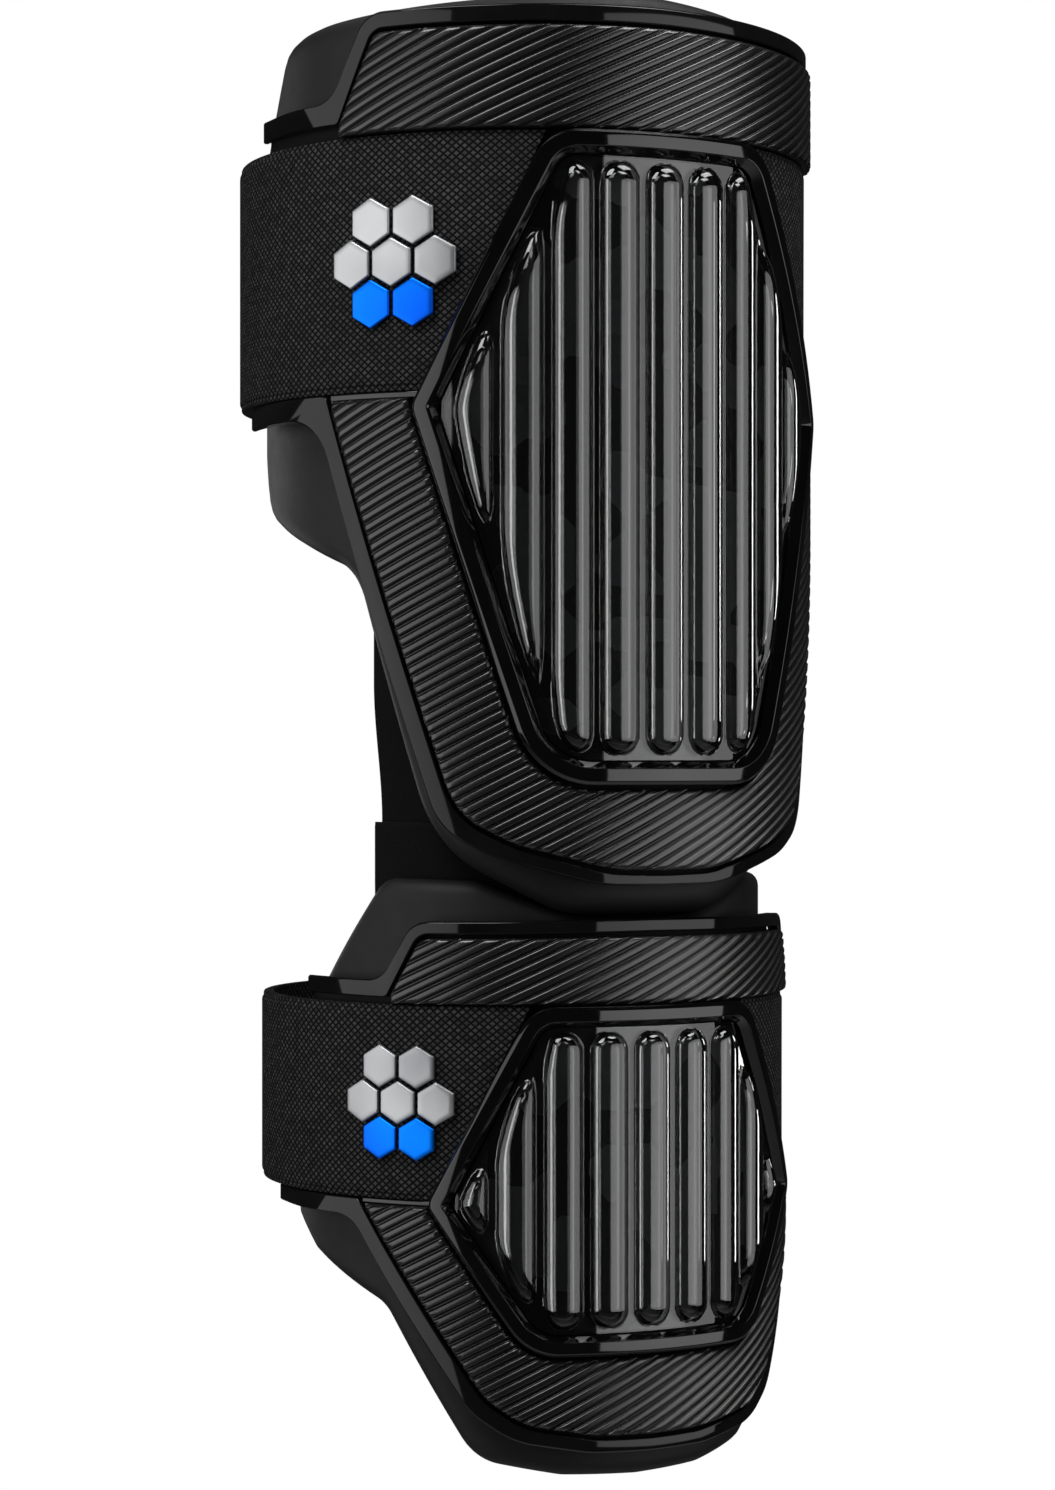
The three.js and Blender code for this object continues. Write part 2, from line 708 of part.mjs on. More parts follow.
function tongue(guard, end, levels, tapered = false) {
  const bottom = levels[0].y;
  const high = levels.at(-1).y;
  const count = 2 * Math.ceil(end / 10);
  const places = Array.from({ length: count + 1 }, (_, i) => end * (2 * i / count - 1));
  const rows = levels.map(({ y, outer }) => ({
    share: (y - bottom) / (high - bottom), inset: 0, outer,
    inner: tapered ? lowerTongueInner(lowerGuard) - (levels[1].outer - outer)
      : outer - bridge.thick,
  }));
  const low = places.map((x) => ({ x, y: bottom }));
  const top = places.map((x) => ({ x, y: high }));
  return band(guard, low, top, rows);
}

// Assembly

const group = new THREE.Group();

function add(name, geometry, look, parent = group) {
  const mesh = new THREE.Mesh(geometry, new THREE.MeshStandardMaterial(look));
  mesh.material.flatShading = true;
  mesh.name = name;
  parent.add(mesh);
  return mesh;
}

// A plain badge on the wearer's outer side: seven flat six-sided cells, silver over blue
function addBadge(guard) {
  const pitch = guard.badgeCell + guard.badgeGap;
  const centreHeight = guard.strapLow + guard.strapWidth / 2;
  const radius = guard.strapOuter + clearance + guard.badgeThick / 2;
  const rows = [
    { cells: 2, look: looks.silver },
    { cells: 3, look: looks.silver },
    { cells: 2, look: looks.blue },
  ];
  let number = 0;
  rows.forEach(({ cells, look }, row) => {
    for (let i = 0; i < cells; i += 1) {
      number += 1;
      const across = (i - (cells - 1) / 2) * pitch;
      const angle = THREE.MathUtils.degToRad(-guard.badgeTurn) + across / radius;
      const holder = new THREE.Group();
      holder.rotation.z = angle;
      group.add(holder);
      const side = guard.badgeCell / Math.sqrt(3);
      const shape = new THREE.CylinderGeometry(side, side, guard.badgeThick, 6);
      const cell = add(`${guard.name}_badge_cell_${number}`, shape, look, holder);
      cell.position.set(0, -radius, centreHeight + (1 - row) * pitch * Math.sqrt(3) / 2);
    }
  });
}

function addGuard(guard) {
  const edges = edgesOf(guard);
  const put = (name, geometry, look) => add(`${guard.name}_${name}`, geometry, look);
  put('pad', padShape(guard), looks.foam);
  put('shell', shellShape(guard, edges), looks.shell);
  put('rim_top', rimShape(guard, edges.rimTop, edges.rimTopOuter), looks.shell);
  put('rim_bottom', rimShape(guard, edges.rimBottom, edges.rimBottomOuter), looks.shell);
  put('panel_top', topPanelShape(guard, edges), looks.rubber);
  put('panel_bottom', bottomPanelShape(guard, edges), looks.rubber);
  put('frame', frameShape(guard), looks.shell);
  put('backing', backingShape(guard), looks.backing);
  put('window', windowShape(guard), looks.clear);
  put('strap', strapShape(guard), looks.strap);
  addBadge(guard);
}

const upperGuard = derive(upper, upperBottom);
const lowerHeight = lower.belowStrap + lower.strapWidth + lower.aboveStrap;
const lowerGuard = derive(lower, upperBottom + elbowLap - lowerHeight);
addGuard(upperGuard);
addGuard(lowerGuard);
add('tongue_upper', upperTongueShape(upperGuard, lowerGuard), looks.fabric);
add('tongue_lower', lowerTongueShape(upperGuard, lowerGuard), looks.fabric);

export default group;
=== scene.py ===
import math

import bmesh
import bpy
import numpy as np
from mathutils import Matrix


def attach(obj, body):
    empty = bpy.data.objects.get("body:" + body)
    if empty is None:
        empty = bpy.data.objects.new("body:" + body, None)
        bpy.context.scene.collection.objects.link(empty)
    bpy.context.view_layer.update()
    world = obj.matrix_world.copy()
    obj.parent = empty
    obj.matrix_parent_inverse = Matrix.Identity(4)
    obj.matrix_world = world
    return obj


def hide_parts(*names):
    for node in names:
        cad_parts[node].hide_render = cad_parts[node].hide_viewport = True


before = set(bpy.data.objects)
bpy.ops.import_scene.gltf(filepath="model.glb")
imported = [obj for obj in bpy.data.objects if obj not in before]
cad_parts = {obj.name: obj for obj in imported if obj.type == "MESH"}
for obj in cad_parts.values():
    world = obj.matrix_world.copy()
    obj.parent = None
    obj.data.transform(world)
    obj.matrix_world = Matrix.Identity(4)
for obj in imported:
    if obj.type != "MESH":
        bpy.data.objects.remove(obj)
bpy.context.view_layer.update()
print("frame loaded")

# Everything below is in millimetres and lies wrapped round the upright axis of the guards.
# x is the arc length on a guard's face from the middle of its front, y is the height.
mm = 0.001
gap = 0.3  # between two pieces that touch

# bottom is a height; belowStrap, strapWidth and aboveStrap stack up from it. padOuter is a
# radius, and the shell and the panel lie on it by their thickness. Behind uprightTurn, in
# degrees from the front, the strap has left the slant of the frame.
guards = {
    "upper": {"bottom": -2.4, "belowStrap": 102.9, "strapWidth": 50.5, "aboveStrap": 29.0,
              "padOuter": 53.6, "shellThick": 2.5, "panelThick": 3.9, "rimWidth": 3.4,
              "groove": 0.8, "ledge": 1.5, "strapThick": 2.5, "uprightTurn": 66},
    "lower": {"bottom": -114.1, "belowStrap": 55.3, "strapWidth": 38.5, "aboveStrap": 24.8,
              "padOuter": 49.6, "shellThick": 1.9, "panelThick": 3.4, "rimWidth": 3.0,
              "groove": 0.8, "ledge": 1.2, "strapThick": 2.5, "uprightTurn": 66},
}
for name, guard in guards.items():
    guard["name"] = name
    guard["strapLow"] = guard["bottom"] + guard["belowStrap"]
    guard["strapHigh"] = guard["strapLow"] + guard["strapWidth"]
    guard["top"] = guard["strapHigh"] + guard["aboveStrap"]
    guard["shellInner"] = guard["padOuter"] + gap
    guard["seat"] = guard["shellInner"] + guard["shellThick"] + gap
    guard["face"] = guard["seat"] + guard["panelThick"]
    guard["strapOuter"] = guard["seat"] + guard["strapThick"]


# Paths on the unrolled face. A corner is x, y, its round and the rim's width after it.
corners = {"leastRound": 0.4,  # mm, what a round keeps when its path moves inwards
           "arcShare": 0.47,   # the most of a side that the arc at one end of it may take
           "easeShare": 0.45,  # the same for the small curves of a section
           "arcSteps": 12, "easeSteps": 5}


def arcAt(guard, turn):
    return np.radians(turn) * guard["face"]


def edgeCorners(guard, rows, side):
    # each row: turn in degrees, then the way from the strap and the round as shares of
    # aboveStrap (side 1) or belowStrap (side -1), and the rim as a share of rimWidth
    turn, share, bend, rim = np.array(rows, float).T
    start, tall = ((guard["strapHigh"], guard["aboveStrap"]) if side > 0 else
                   (guard["strapLow"], guard["belowStrap"]))
    return np.stack([arcAt(guard, turn), start + side * share * tall, bend * tall,
                     rim * guard["rimWidth"]], 1)


def turned(a, b):
    return a[0] * b[1] - a[1] * b[0]


def crossing(a, wayA, b, wayB):
    # where the line from a along wayA meets the line through b
    across = turned(wayA, wayB)
    return b if abs(across) < 1e-4 else a + wayA * turned(b - a, wayB) / across


def shifted(path, moves, closed=False):
    # each side moves to its left by its own distance, and round corners stay concentric
    spots, count = path.copy(), len(path)
    moves = np.full(count, float(moves)) if np.isscalar(moves) else moves
    way = np.roll(path[:, :2], -1, 0) - path[:, :2]
    way = way / np.maximum(np.hypot(way[:, 0], way[:, 1]), 1e-9)[:, None]
    left = np.stack([-way[:, 1], way[:, 0]], 1)
    start = path[:, :2] + left * moves[:, None]
    for i in range(count):
        j = (i - 1) % count
        if not closed and i == 0:
            spots[i, :2] = start[i]
        elif not closed and i == count - 1:
            spots[i, :2] = path[i, :2] + left[j] * moves[j]
        else:
            spots[i, :2] = crossing(start[j], way[j], start[i], way[i])
            if path[i, 2] > 0:
                side = np.sign(turned(way[j], way[i]))
                bend = path[i, 2] - side * (moves[j] + moves[i]) / 2
                spots[i, 2] = max(corners["leastRound"], bend)
    return spots


def rounded(path, closed=False):
    # a corner with a round becomes an arc that touches both of its sides
    parts, count, most = [], len(path), corners["arcShare"]
    share = np.linspace(0, 1, corners["arcSteps"] + 1)
    for i in range(count):
        here, bend = path[i, :2], path[i, 2]
        if bend <= 0 or (not closed and i in (0, count - 1)):
            parts.append(here[None])
            continue
        before = path[i - 1, :2] - here
        after = path[(i + 1) % count, :2] - here
        back = math.atan2(before[1], before[0])
        opening = (math.atan2(after[1], after[0]) - back + math.pi) % (2 * math.pi) - math.pi
        half = abs(opening) / 2
        reach = min(bend / math.tan(half), most * np.hypot(*before), most * np.hypot(*after))
        radius = reach * math.tan(half)
        middle = back + opening / 2
        centre = here + radius / math.sin(half) * np.array([math.cos(middle), math.sin(middle)])
        side = np.sign(opening)
        angle = back - side * math.pi / 2 - side * (math.pi - 2 * half) * share
        parts.append(centre + radius * np.stack([np.cos(angle), np.sin(angle)], 1))
    return np.concatenate(parts)


def mirrored(points):
    # adds the other side of a path that starts or ends at x = 0
    other = (points * [-1, 1])[np.abs(points[:, 0]) > 1e-6]
    if points[0, 0] > points[-1, 0]:
        return np.concatenate([points, other[::-1]])
    return np.concatenate([other[::-1], points])


def heightAt(path, x):
    order = np.argsort(path[:, 0], kind="stable")
    return np.interp(x, path[order, 0], path[order, 1])


def refined(edgeA, edgeB, step, closed=False):
    # more matching points on two edges, so that none lie further apart than step
    if closed:
        edgeA, edgeB = np.vstack([edgeA, edgeA[:1]]), np.vstack([edgeB, edgeB[:1]])
    span = np.maximum(*[np.hypot(*np.diff(edge, axis=0).T) for edge in (edgeA, edgeB)])
    parts = np.maximum(1, np.ceil(span / step)).astype(int)
    first = np.repeat(np.cumsum(parts) - parts, parts)
    share = (np.arange(parts.sum()) - first) / np.repeat(parts, parts)
    place = np.repeat(np.arange(len(parts)), parts) + share
    if not closed:
        place = np.append(place, len(parts))
    whole = np.arange(len(edgeA))
    return [np.stack([np.interp(place, whole, edge[:, k]) for k in (0, 1)], 1)
            for edge in (edgeA, edgeB)]


def farFrom(points, outline):
    # distance of each point to the closed outline: the least over its sides
    a, b = outline, np.roll(outline, -1, 0)
    side = b - a
    keep = np.hypot(side[:, 0], side[:, 1]) > 1e-6
    a, side = a[keep], side[keep]
    least = np.full(len(points), 1e9)
    for start, way in zip(a, side):
        off = points - start
        along = np.clip(off @ way / (way @ way), 0, 1)[:, None]
        least = np.minimum(least, np.hypot(*(off - along * way).T))
    return least


def roundOff(far, bend):
    # how far a face drops within `bend` of its edge: a quarter circle
    inside = np.clip(1 - far / bend, 0, 1)
    return bend * (1 - np.sqrt(1 - inside ** 2))


# Meshes
weld = 2e-6  # metres, the distance at which two points become one


def wrapped(guard, x, y, radius):
    # the point at arc length x and height y, on a cylinder of that radius
    angle = x / guard["face"]
    return np.stack(np.broadcast_arrays(radius * np.sin(angle), -radius * np.cos(angle), y), -1)


def meshPiece(name, points, quads, caps, material, nodes, slot, sharpAngle=40):
    # a piece from points in mm; quads and caps are rings of their numbers
    loops = np.concatenate([quads.ravel()] + [np.asarray(cap).ravel() for cap in caps])
    totals = np.concatenate([np.full(len(quads), 4)] + [np.array([len(cap)]) for cap in caps])
    mesh = bpy.data.meshes.new(name)
    mesh.vertices.add(len(points))
    mesh.vertices.foreach_set("co", (points * mm).astype(np.float32).ravel())
    mesh.loops.add(len(loops))
    mesh.loops.foreach_set("vertex_index", loops.astype(np.int32))
    mesh.polygons.add(len(totals))
    mesh.polygons.foreach_set("loop_start", (np.cumsum(totals) - totals).astype(np.int32))
    mesh.polygons.foreach_set("loop_total", totals.astype(np.int32))
    mesh.update(calc_edges=True)
    body = bmesh.new()
    body.from_mesh(mesh)
    bmesh.ops.remove_doubles(body, verts=body.verts, dist=weld)
    bmesh.ops.recalc_face_normals(body, faces=body.faces)
    body.to_mesh(mesh)
    body.free()
    mesh.polygons.foreach_set("use_smooth", np.ones(len(mesh.polygons), bool))
    mesh.set_sharp_from_angle(angle=math.radians(sharpAngle))
    mesh.materials.append(material)
    obj = bpy.data.objects.new(name, mesh)
    bpy.context.scene.collection.objects.link(obj)
    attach(obj, "root")
    if nodes:
        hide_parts(*nodes)
    return obj


def ringMesh(name, rings, closed, *rest, **more):
    # rings of points in a row: neighbours join in quads, and an open row is capped
    count, size = rings.shape[:2]
    number = np.arange(count * size).reshape(count, size)
    here = number if closed else number[:-1]
    ahead = np.roll(number, -1, 0) if closed else number[1:]
    quads = np.stack([here, np.roll(here, -1, 1), np.roll(ahead, -1, 1), ahead], -1)
    caps = [] if closed else [number[0], number[-1]]
    return meshPiece(name, rings.reshape(-1, 3), quads.reshape(-1, 4), caps, *rest, **more)


def eased(section, ease):
    # each corner of a closed section becomes a short curve between points `ease` away from it
    towards = [np.roll(section, way, 1) - section for way in (1, -1)]
    long = [np.maximum(np.hypot(way[..., 0], way[..., 1]), 1e-9) for way in towards]
    ends = [section + way * (np.minimum(ease, corners["easeShare"] * far) / far)[..., None]
            for way, far in zip(towards, long)]
    t = np.linspace(0, 1, corners["easeSteps"] + 1)[:, None]
    curve = ((1 - t) ** 2 * ends[0][:, :, None] + 2 * t * (1 - t) * section[:, :, None]
             + t ** 2 * ends[1][:, :, None])
    return curve.reshape(len(section), -1, 2)


def bandMesh(name, guard, edgeA, edgeB, sectionAt, ease, *rest, closed=False, step=1.5):
    # a section of (distance from edge A towards edge B, radius) carried along both edges
    a, b = refined(edgeA, edgeB, step, closed)
    wide = np.hypot(*(b - a).T)
    section = eased(sectionAt(a, b, wide), np.array(ease, float))
    share = section[..., 0] / np.maximum(wide, 1e-6)[:, None]
    x = a[:, :1] + (b - a)[:, :1] * share
    y = a[:, 1:] + (b - a)[:, 1:] * share
    rings = wrapped(guard, x, y, section[..., 1])
    return ringMesh(name, rings, closed, *rest, sharpAngle=60)


def rowsBetween(low, high, bend, rows, edgeRows):
    # heights of each column's rows: a quarter of a cosine wave sets them close together
    # near both edges, at most over 0.4 of the height each, and they lie even in between
    tall = (high - low)[:, None]
    near = np.minimum(bend, 0.4 * tall) * (1 - np.cos(np.linspace(0, np.pi / 2, edgeRows)))
    between = near[:, -1:] + (tall - 2 * near[:, -1:]) * np.linspace(0, 1, rows + 2)[1:-1]
    return low[:, None] + np.concatenate([near, between, tall - near[:, ::-1]], 1)


def columnsAt(end, step):
    # an odd number of columns from -end to end, no further apart than step
    return end * np.linspace(-1, 1, 2 * math.ceil(end / step) + 1)


def edgeDistance(low, high, end, x, y):
    # distance of each grid point to the outline: both edges, closed by an upright at each end
    path = []
    for edge, way in ((low, 1), (high, -1)):
        order = edge[np.argsort(edge[:, 0], kind="stable")]
        inside = order[np.abs(order[:, 0]) < end]
        corner = [[[side * end, heightAt(edge, side * end)]] for side in (-1, 1)]
        path.append(np.concatenate([corner[0], inside, corner[1]])[::way])
    points = np.stack([np.broadcast_to(x[:, None], y.shape).ravel(), y.ravel()], 1)
    return farFrom(points, np.concatenate(path)).reshape(y.shape)


def plateMesh(name, guard, low, high, end, outerAt, innerAt, *rest, step, bend, rows,
              edgeRows=6, **more):
    # upright columns between two edges; outer and inner radii are functions of the place
    # and of its distance to the edge
    x = columnsAt(end, step)
    y = rowsBetween(heightAt(low, x), heightAt(high, x), bend, rows, edgeRows)
    grid = np.broadcast_to(x[:, None], y.shape)
    far = edgeDistance(low, high, end, x, y)
    outer = wrapped(guard, grid, y, outerAt(grid, y, far))
    inner = wrapped(guard, grid, y, innerAt(grid, y, far))
    return ringMesh(name, np.concatenate([outer, inner[:, ::-1]], 1), False, *rest, **more)


# Finishes. All of them read Object coordinates, in metres. A noise is given by its scale,
# its detail and, where it isn't 0.55, its roughness.


class Finish:
    # a material with short ways to add and join its nodes

    def __init__(self, name, **sockets):
        self.material = bpy.data.materials.new(name)
        self.material.use_nodes = True
        self.nodes = self.material.node_tree.nodes
        self.links = self.material.node_tree.links
        self.shader = self.nodes["Principled BSDF"]
        self.put(self.shader, **sockets)
        self.place = self.nodes.new("ShaderNodeTexCoord").outputs["Object"]

    def put(self, node, **sockets):
        for key, value in sockets.items():
            socket = node.inputs[key.replace("_", " ")]
            if isinstance(value, bpy.types.NodeSocket):
                self.links.new(value, socket)
            else:
                socket.default_value = value
        return node

    def calc(self, operation, *values):
        node = self.nodes.new("ShaderNodeMath")
        node.operation = operation
        for socket, value in zip(node.inputs, values):
            if isinstance(value, bpy.types.NodeSocket):
                self.links.new(value, socket)
            else:
                socket.default_value = value
        return node.outputs[0]

    def noise(self, scale, detail, roughness=0.55):
        node = self.put(self.nodes.new("ShaderNodeTexNoise"), Vector=self.place,
                        Scale=scale, Detail=detail, Roughness=roughness)
        return node.outputs["Fac"]

    def ramp(self, value, *stops):
        node = self.nodes.new("ShaderNodeValToRGB")
        while len(node.color_ramp.elements) < len(stops):
            node.color_ramp.elements.new(0.5)
        for element, (spot, colour) in zip(node.color_ramp.elements, stops):
            element.position = spot
            element.color = (*(colour if hasattr(colour, "__len__") else (colour,) * 3), 1)
        self.links.new(value, node.inputs[0])
        return node.outputs[0]

    def between(self, value, low, high):
        node = self.put(self.nodes.new("ShaderNodeMapRange"), Value=value)
        node.inputs[3].default_value, node.inputs[4].default_value = low, high
        return node.outputs[0]

    def bump(self, height, distance, strength):
        node = self.put(self.nodes.new("ShaderNodeBump"), Height=height, Strength=strength,
                        Distance=distance)
        self.links.new(node.outputs[0], self.shader.inputs["Normal"])

    def colour(self, socket):
        self.links.new(socket, self.shader.inputs["Base Color"])

    def dull(self, socket):
        self.links.new(socket, self.shader.inputs["Roughness"])

    def unrolled(self, radius):
        # arc length round the axis at that radius, from the angle of the place, and height
        split = self.put(self.nodes.new("ShaderNodeSeparateXYZ"), Vector=self.place)
        ahead = self.calc("MULTIPLY", split.outputs[1], -1.0)
        angle = self.calc("ARCTAN2", split.outputs[0], ahead)
        return self.calc("MULTIPLY", angle, radius), split.outputs[2]


# Solid finishes: cloud is the noise that moves the colour between its tones, wear the one
# that moves the roughness between the two values of dull, grain the one of the bump.
solidLooks = {
    "glossBlack": {"rough": 0.05, "shine": 0.6, "cloud": (60, 4),
                   "tones": [(0.3, 0.0035), (0.75, 0.007)], "wear": (35, 5, 0.6),
                   "dull": (0.03, 0.08), "grain": (160, 2), "deep": 0.00002, "strength": 0.15},
    "plateBlack": {"rough": 0.6, "shine": 0.15, "cloud": (60, 4),
                   "tones": [(0.3, 0.0015), (0.75, 0.003)], "wear": (120, 4),
                   "dull": (0.55, 0.7), "grain": (900, 2), "deep": 0.00003, "strength": 0.2},
    "foamSkin": {"rough": 0.6, "shine": 0.24, "cloud": (30, 4),
                 "tones": [(0.25, 0.008), (0.8, 0.012)], "wear": (300, 3),
                 "dull": (0.5, 0.62), "grain": (2600, 2), "pores": (500, 2), "poreShare": 0.6,
                 "deep": 0.00006, "strength": 0.35},
    "ribbedRubber": {"rough": 0.4, "shine": 0.8, "cloud": (90, 4),
                     "tones": [(0.25, 0.003), (0.8, 0.007)], "wear": (160, 4),
                     "dull": (0.24, 0.34), "grain": (1800, 2), "deep": 0.00004,
                     "strength": 0.3},
    "satinSilver": {"rough": 0.3, "shine": 0.2, "metal": 0.75, "cloud": (28, 2),
                    "tones": [(0.35, (0.24, 0.245, 0.255)), (0.7, (0.5, 0.51, 0.52))],
                    "wear": (400, 3), "dull": (0.26, 0.36), "grain": (900, 2),
                    "deep": 0.00002, "strength": 0.3},
}
solidLooks["rimBlack"] = dict(solidLooks["glossBlack"], shine=0.32)
solidLooks["satinBlue"] = dict(solidLooks["satinSilver"], metal=0.8, tones=[
    (0.35, (0.0, 0.08, 0.8)), (0.7, (0.0, 0.24, 1.0))])


def solidFinish(name):
    sizes = solidLooks[name]
    look = Finish(name, Roughness=sizes["rough"], Specular_IOR_Level=sizes["shine"],
                  Metallic=sizes.get("metal", 0.0))
    look.colour(look.ramp(look.noise(*sizes["cloud"]), *sizes["tones"]))
    look.dull(look.between(look.noise(*sizes["wear"]), *sizes["dull"]))
    grain = look.noise(*sizes["grain"])
    if "pores" in sizes:
        pores = look.calc("MULTIPLY", look.noise(*sizes["pores"]), sizes["poreShare"])
        grain = look.calc("ADD", grain, pores)
    look.bump(grain, sizes["deep"], sizes["strength"])
    return look.material


weave = {
    "angle": 40.0, "pitch": 1.1,  # degrees either side of level, mm
    "gapShare": 0.17, "domeShare": 0.55,  # shares of a cell where its dome starts and is full
    "sway": (45, 2), "swayShare": 0.5,  # how the lines wander, in cells
    "cloud": (40, 3), "cloudy": (0.7, 1.25), "cellBright": (0.55, 1.5),
    # ground is the tone of the gaps between cells, a painted shade
    "ground": 0.0012, "bright": 0.034, "dull": (0.8, 0.52), "deep": 0.00012, "strength": 0.8,
}


def strapFinish(radius):
    # two sets of lines at the weave's angle either side of level cut the strap into cells; each
    # cell is a small dome with its own brightness. Its colour is lighter at the dome's top and
    # sinks to the ground tone in the gaps: painted light and shade over each cell's own tone. A
    # whole number of cells goes round.
    look = Finish("wovenElastic" + str(round(radius)), Roughness=0.6, Specular_IOR_Level=0.1)
    steep, flat = math.sin(math.radians(weave["angle"])), math.cos(math.radians(weave["angle"]))
    lap = 2 * math.pi * radius * steep / weave["pitch"]
    across, up = look.unrolled(round(lap) / (2 * math.pi))
    up = look.calc("MULTIPLY", up, 1000 * flat / weave["pitch"])
    sway = look.calc("SUBTRACT", look.noise(*weave["sway"]), 0.5)
    up = look.calc("ADD", up, look.calc("MULTIPLY", sway, weave["swayShare"]))
    cell = look.nodes.new("ShaderNodeCombineXYZ")
    domes = []
    for line, corner in zip([look.calc("ADD", up, across), look.calc("SUBTRACT", up, across)],
                            cell.inputs):
        off = look.calc("ABSOLUTE", look.calc("SUBTRACT", look.calc("FRACT", line), 0.5))
        dome = look.calc("SUBTRACT", 1.0, look.calc("MULTIPLY", off, 2.0))
        domes.append(look.calc("SMOOTH_MAX", dome, 0.0, 0.1))
        look.links.new(look.calc("FLOOR", line), corner)
    chance = look.put(look.nodes.new("ShaderNodeTexWhiteNoise"), Vector=cell.outputs[0])
    top = look.between(look.calc("MINIMUM", *domes), 0.0, 1.0)
    top.node.interpolation_type = "SMOOTHSTEP"
    top.node.inputs[1].default_value = weave["gapShare"]
    top.node.inputs[2].default_value = weave["domeShare"]
    cloud = look.between(look.noise(*weave["cloud"]), *weave["cloudy"])
    bright = look.calc("MULTIPLY", look.between(chance.outputs["Value"], *weave["cellBright"]),
                       cloud)
    lift = look.calc("MULTIPLY", top, bright)
    # painted light and shade: the colour follows the dome, lighter at its top and dark in the
    # gaps
    tone = look.calc("ADD", weave["ground"], look.calc("MULTIPLY", lift, weave["bright"]))
    mix = look.put(look.nodes.new("ShaderNodeCombineColor"), Red=tone, Green=tone, Blue=tone)
    look.colour(mix.outputs[0])
    look.dull(look.between(top, *weave["dull"]))
    look.bump(lift, weave["deep"], weave["strength"])
    return look.material


knit = {
    "radius": 0.042, "wavesRound": 9000.0, "wavesUp": 6500.0,  # metres, radians to a metre
    "cloud": (50, 4), "tones": [(0.25, 0.002), (0.8, 0.004)], "dull": (0.85, 0.97),
    "fuzz": (700, 2), "deep": 0.00006, "strength": 0.5,
}


def clothFinish():
    # fine knit: two crossed waves round the axis and up it, over a soft cloud
    look = Finish("blackKnit", Roughness=0.92, Specular_IOR_Level=0.1, Sheen_Weight=0.02,
                  Sheen_Roughness=0.5)
    waves = [look.calc("SINE", look.calc("MULTIPLY", place, knit[key])) for place, key in
             zip(look.unrolled(knit["radius"]), ("wavesRound", "wavesUp"))]
    cloud = look.noise(*knit["cloud"])
    look.colour(look.ramp(cloud, *knit["tones"]))
    look.dull(look.between(cloud, *knit["dull"]))
    height = look.calc("ADD", look.calc("MULTIPLY", *waves), look.noise(*knit["fuzz"]))
    look.bump(height, knit["deep"], knit["strength"])
    return look.material


patches = {
    "radius": 0.057, "slant": 0.8, "scale": 75.0, "wear": (200, 3), "dull": (0.4, 0.55),
    "tones": [(0.0, 0.001), (0.45, 0.001), (0.47, 0.085), (1.0, 0.125)],
}


def backingFinish():
    # dark plate with slightly darker angular patches, cut by slanted lines
    look = Finish("patchedBacking", Roughness=0.45, Specular_IOR_Level=0.4)
    across, up = look.unrolled(patches["radius"])
    back = look.calc("SUBTRACT", up, look.calc("MULTIPLY", across, patches["slant"]))
    spot = look.put(look.nodes.new("ShaderNodeCombineXYZ"), X=look.calc("ADD", across, up),
                    Y=back)
    cells = look.put(look.nodes.new("ShaderNodeTexVoronoi"), Vector=spot.outputs[0],
                     Scale=patches["scale"])
    cells.distance = "CHEBYCHEV"
    cells.voronoi_dimensions = "2D"
    patch = look.put(look.nodes.new("ShaderNodeSeparateColor"), Color=cells.outputs["Color"])
    look.colour(look.ramp(patch.outputs[0], *patches["tones"]))
    look.dull(look.between(look.noise(*patches["wear"]), *patches["dull"]))
    return look.material


clearLook = {
    "mirrorLeast": 0.13, "mirrorGain": 3.4, "ior": 1.5,
    "wear": (25, 3), "dull": (0.01, 0.03), "wave": (14, 1), "deep": 0.0001, "strength": 0.05,
    # the light let through: at a slant the plastic passes less, and the ramp darkens it further,
    # painted shade for the dark lines along each flute's steep sides
    "slantShadedPassing": [(0.0, (0.84, 0.85, 0.86)), (0.35, 0.7), (0.7, 0.12), (0.9, 0.02)],
}


def clearFinish():
    # thin clear plastic: what lies behind shows through, darkened at a slant by painted shade,
    # and the sheen grows at a slant
    look = Finish("clearPlastic", Base_Color=(0.004, 0.004, 0.004, 1), Roughness=0.02,
                  Specular_IOR_Level=1.0, IOR=2.0)
    look.dull(look.between(look.noise(*clearLook["wear"]), *clearLook["dull"]))
    look.bump(look.noise(*clearLook["wave"]), clearLook["deep"], clearLook["strength"])
    slantShadedPassing = look.nodes.new("ShaderNodeBsdfTransparent")
    facing = look.nodes.new("ShaderNodeLayerWeight")
    facing.inputs[0].default_value = 0.5
    # painted shade: what shows through darkens where the surface turns away, at each flute's
    # sides
    look.links.new(look.ramp(facing.outputs["Facing"], *clearLook["slantShadedPassing"]), slantShadedPassing.inputs[0])
    slant = look.put(look.nodes.new("ShaderNodeFresnel"), IOR=clearLook["ior"])
    sheen = look.calc("MULTIPLY", slant.outputs[0], clearLook["mirrorGain"])
    mix = look.nodes.new("ShaderNodeMixShader")
    look.links.new(look.calc("ADD", sheen, clearLook["mirrorLeast"]), mix.inputs[0])
    look.links.new(slantShadedPassing.outputs[0], mix.inputs[1])
    look.links.new(look.shader.outputs[0], mix.inputs[2])
    look.links.new(mix.outputs[0], look.nodes["Material Output"].inputs[0])
    return look.material


gloss, plate, foam, rubber, silver, rimGloss, blue = [solidFinish(name) for name in solidLooks]
cloth, patched, clear = clothFinish(), backingFinish(), clearFinish()
print("finishes made")


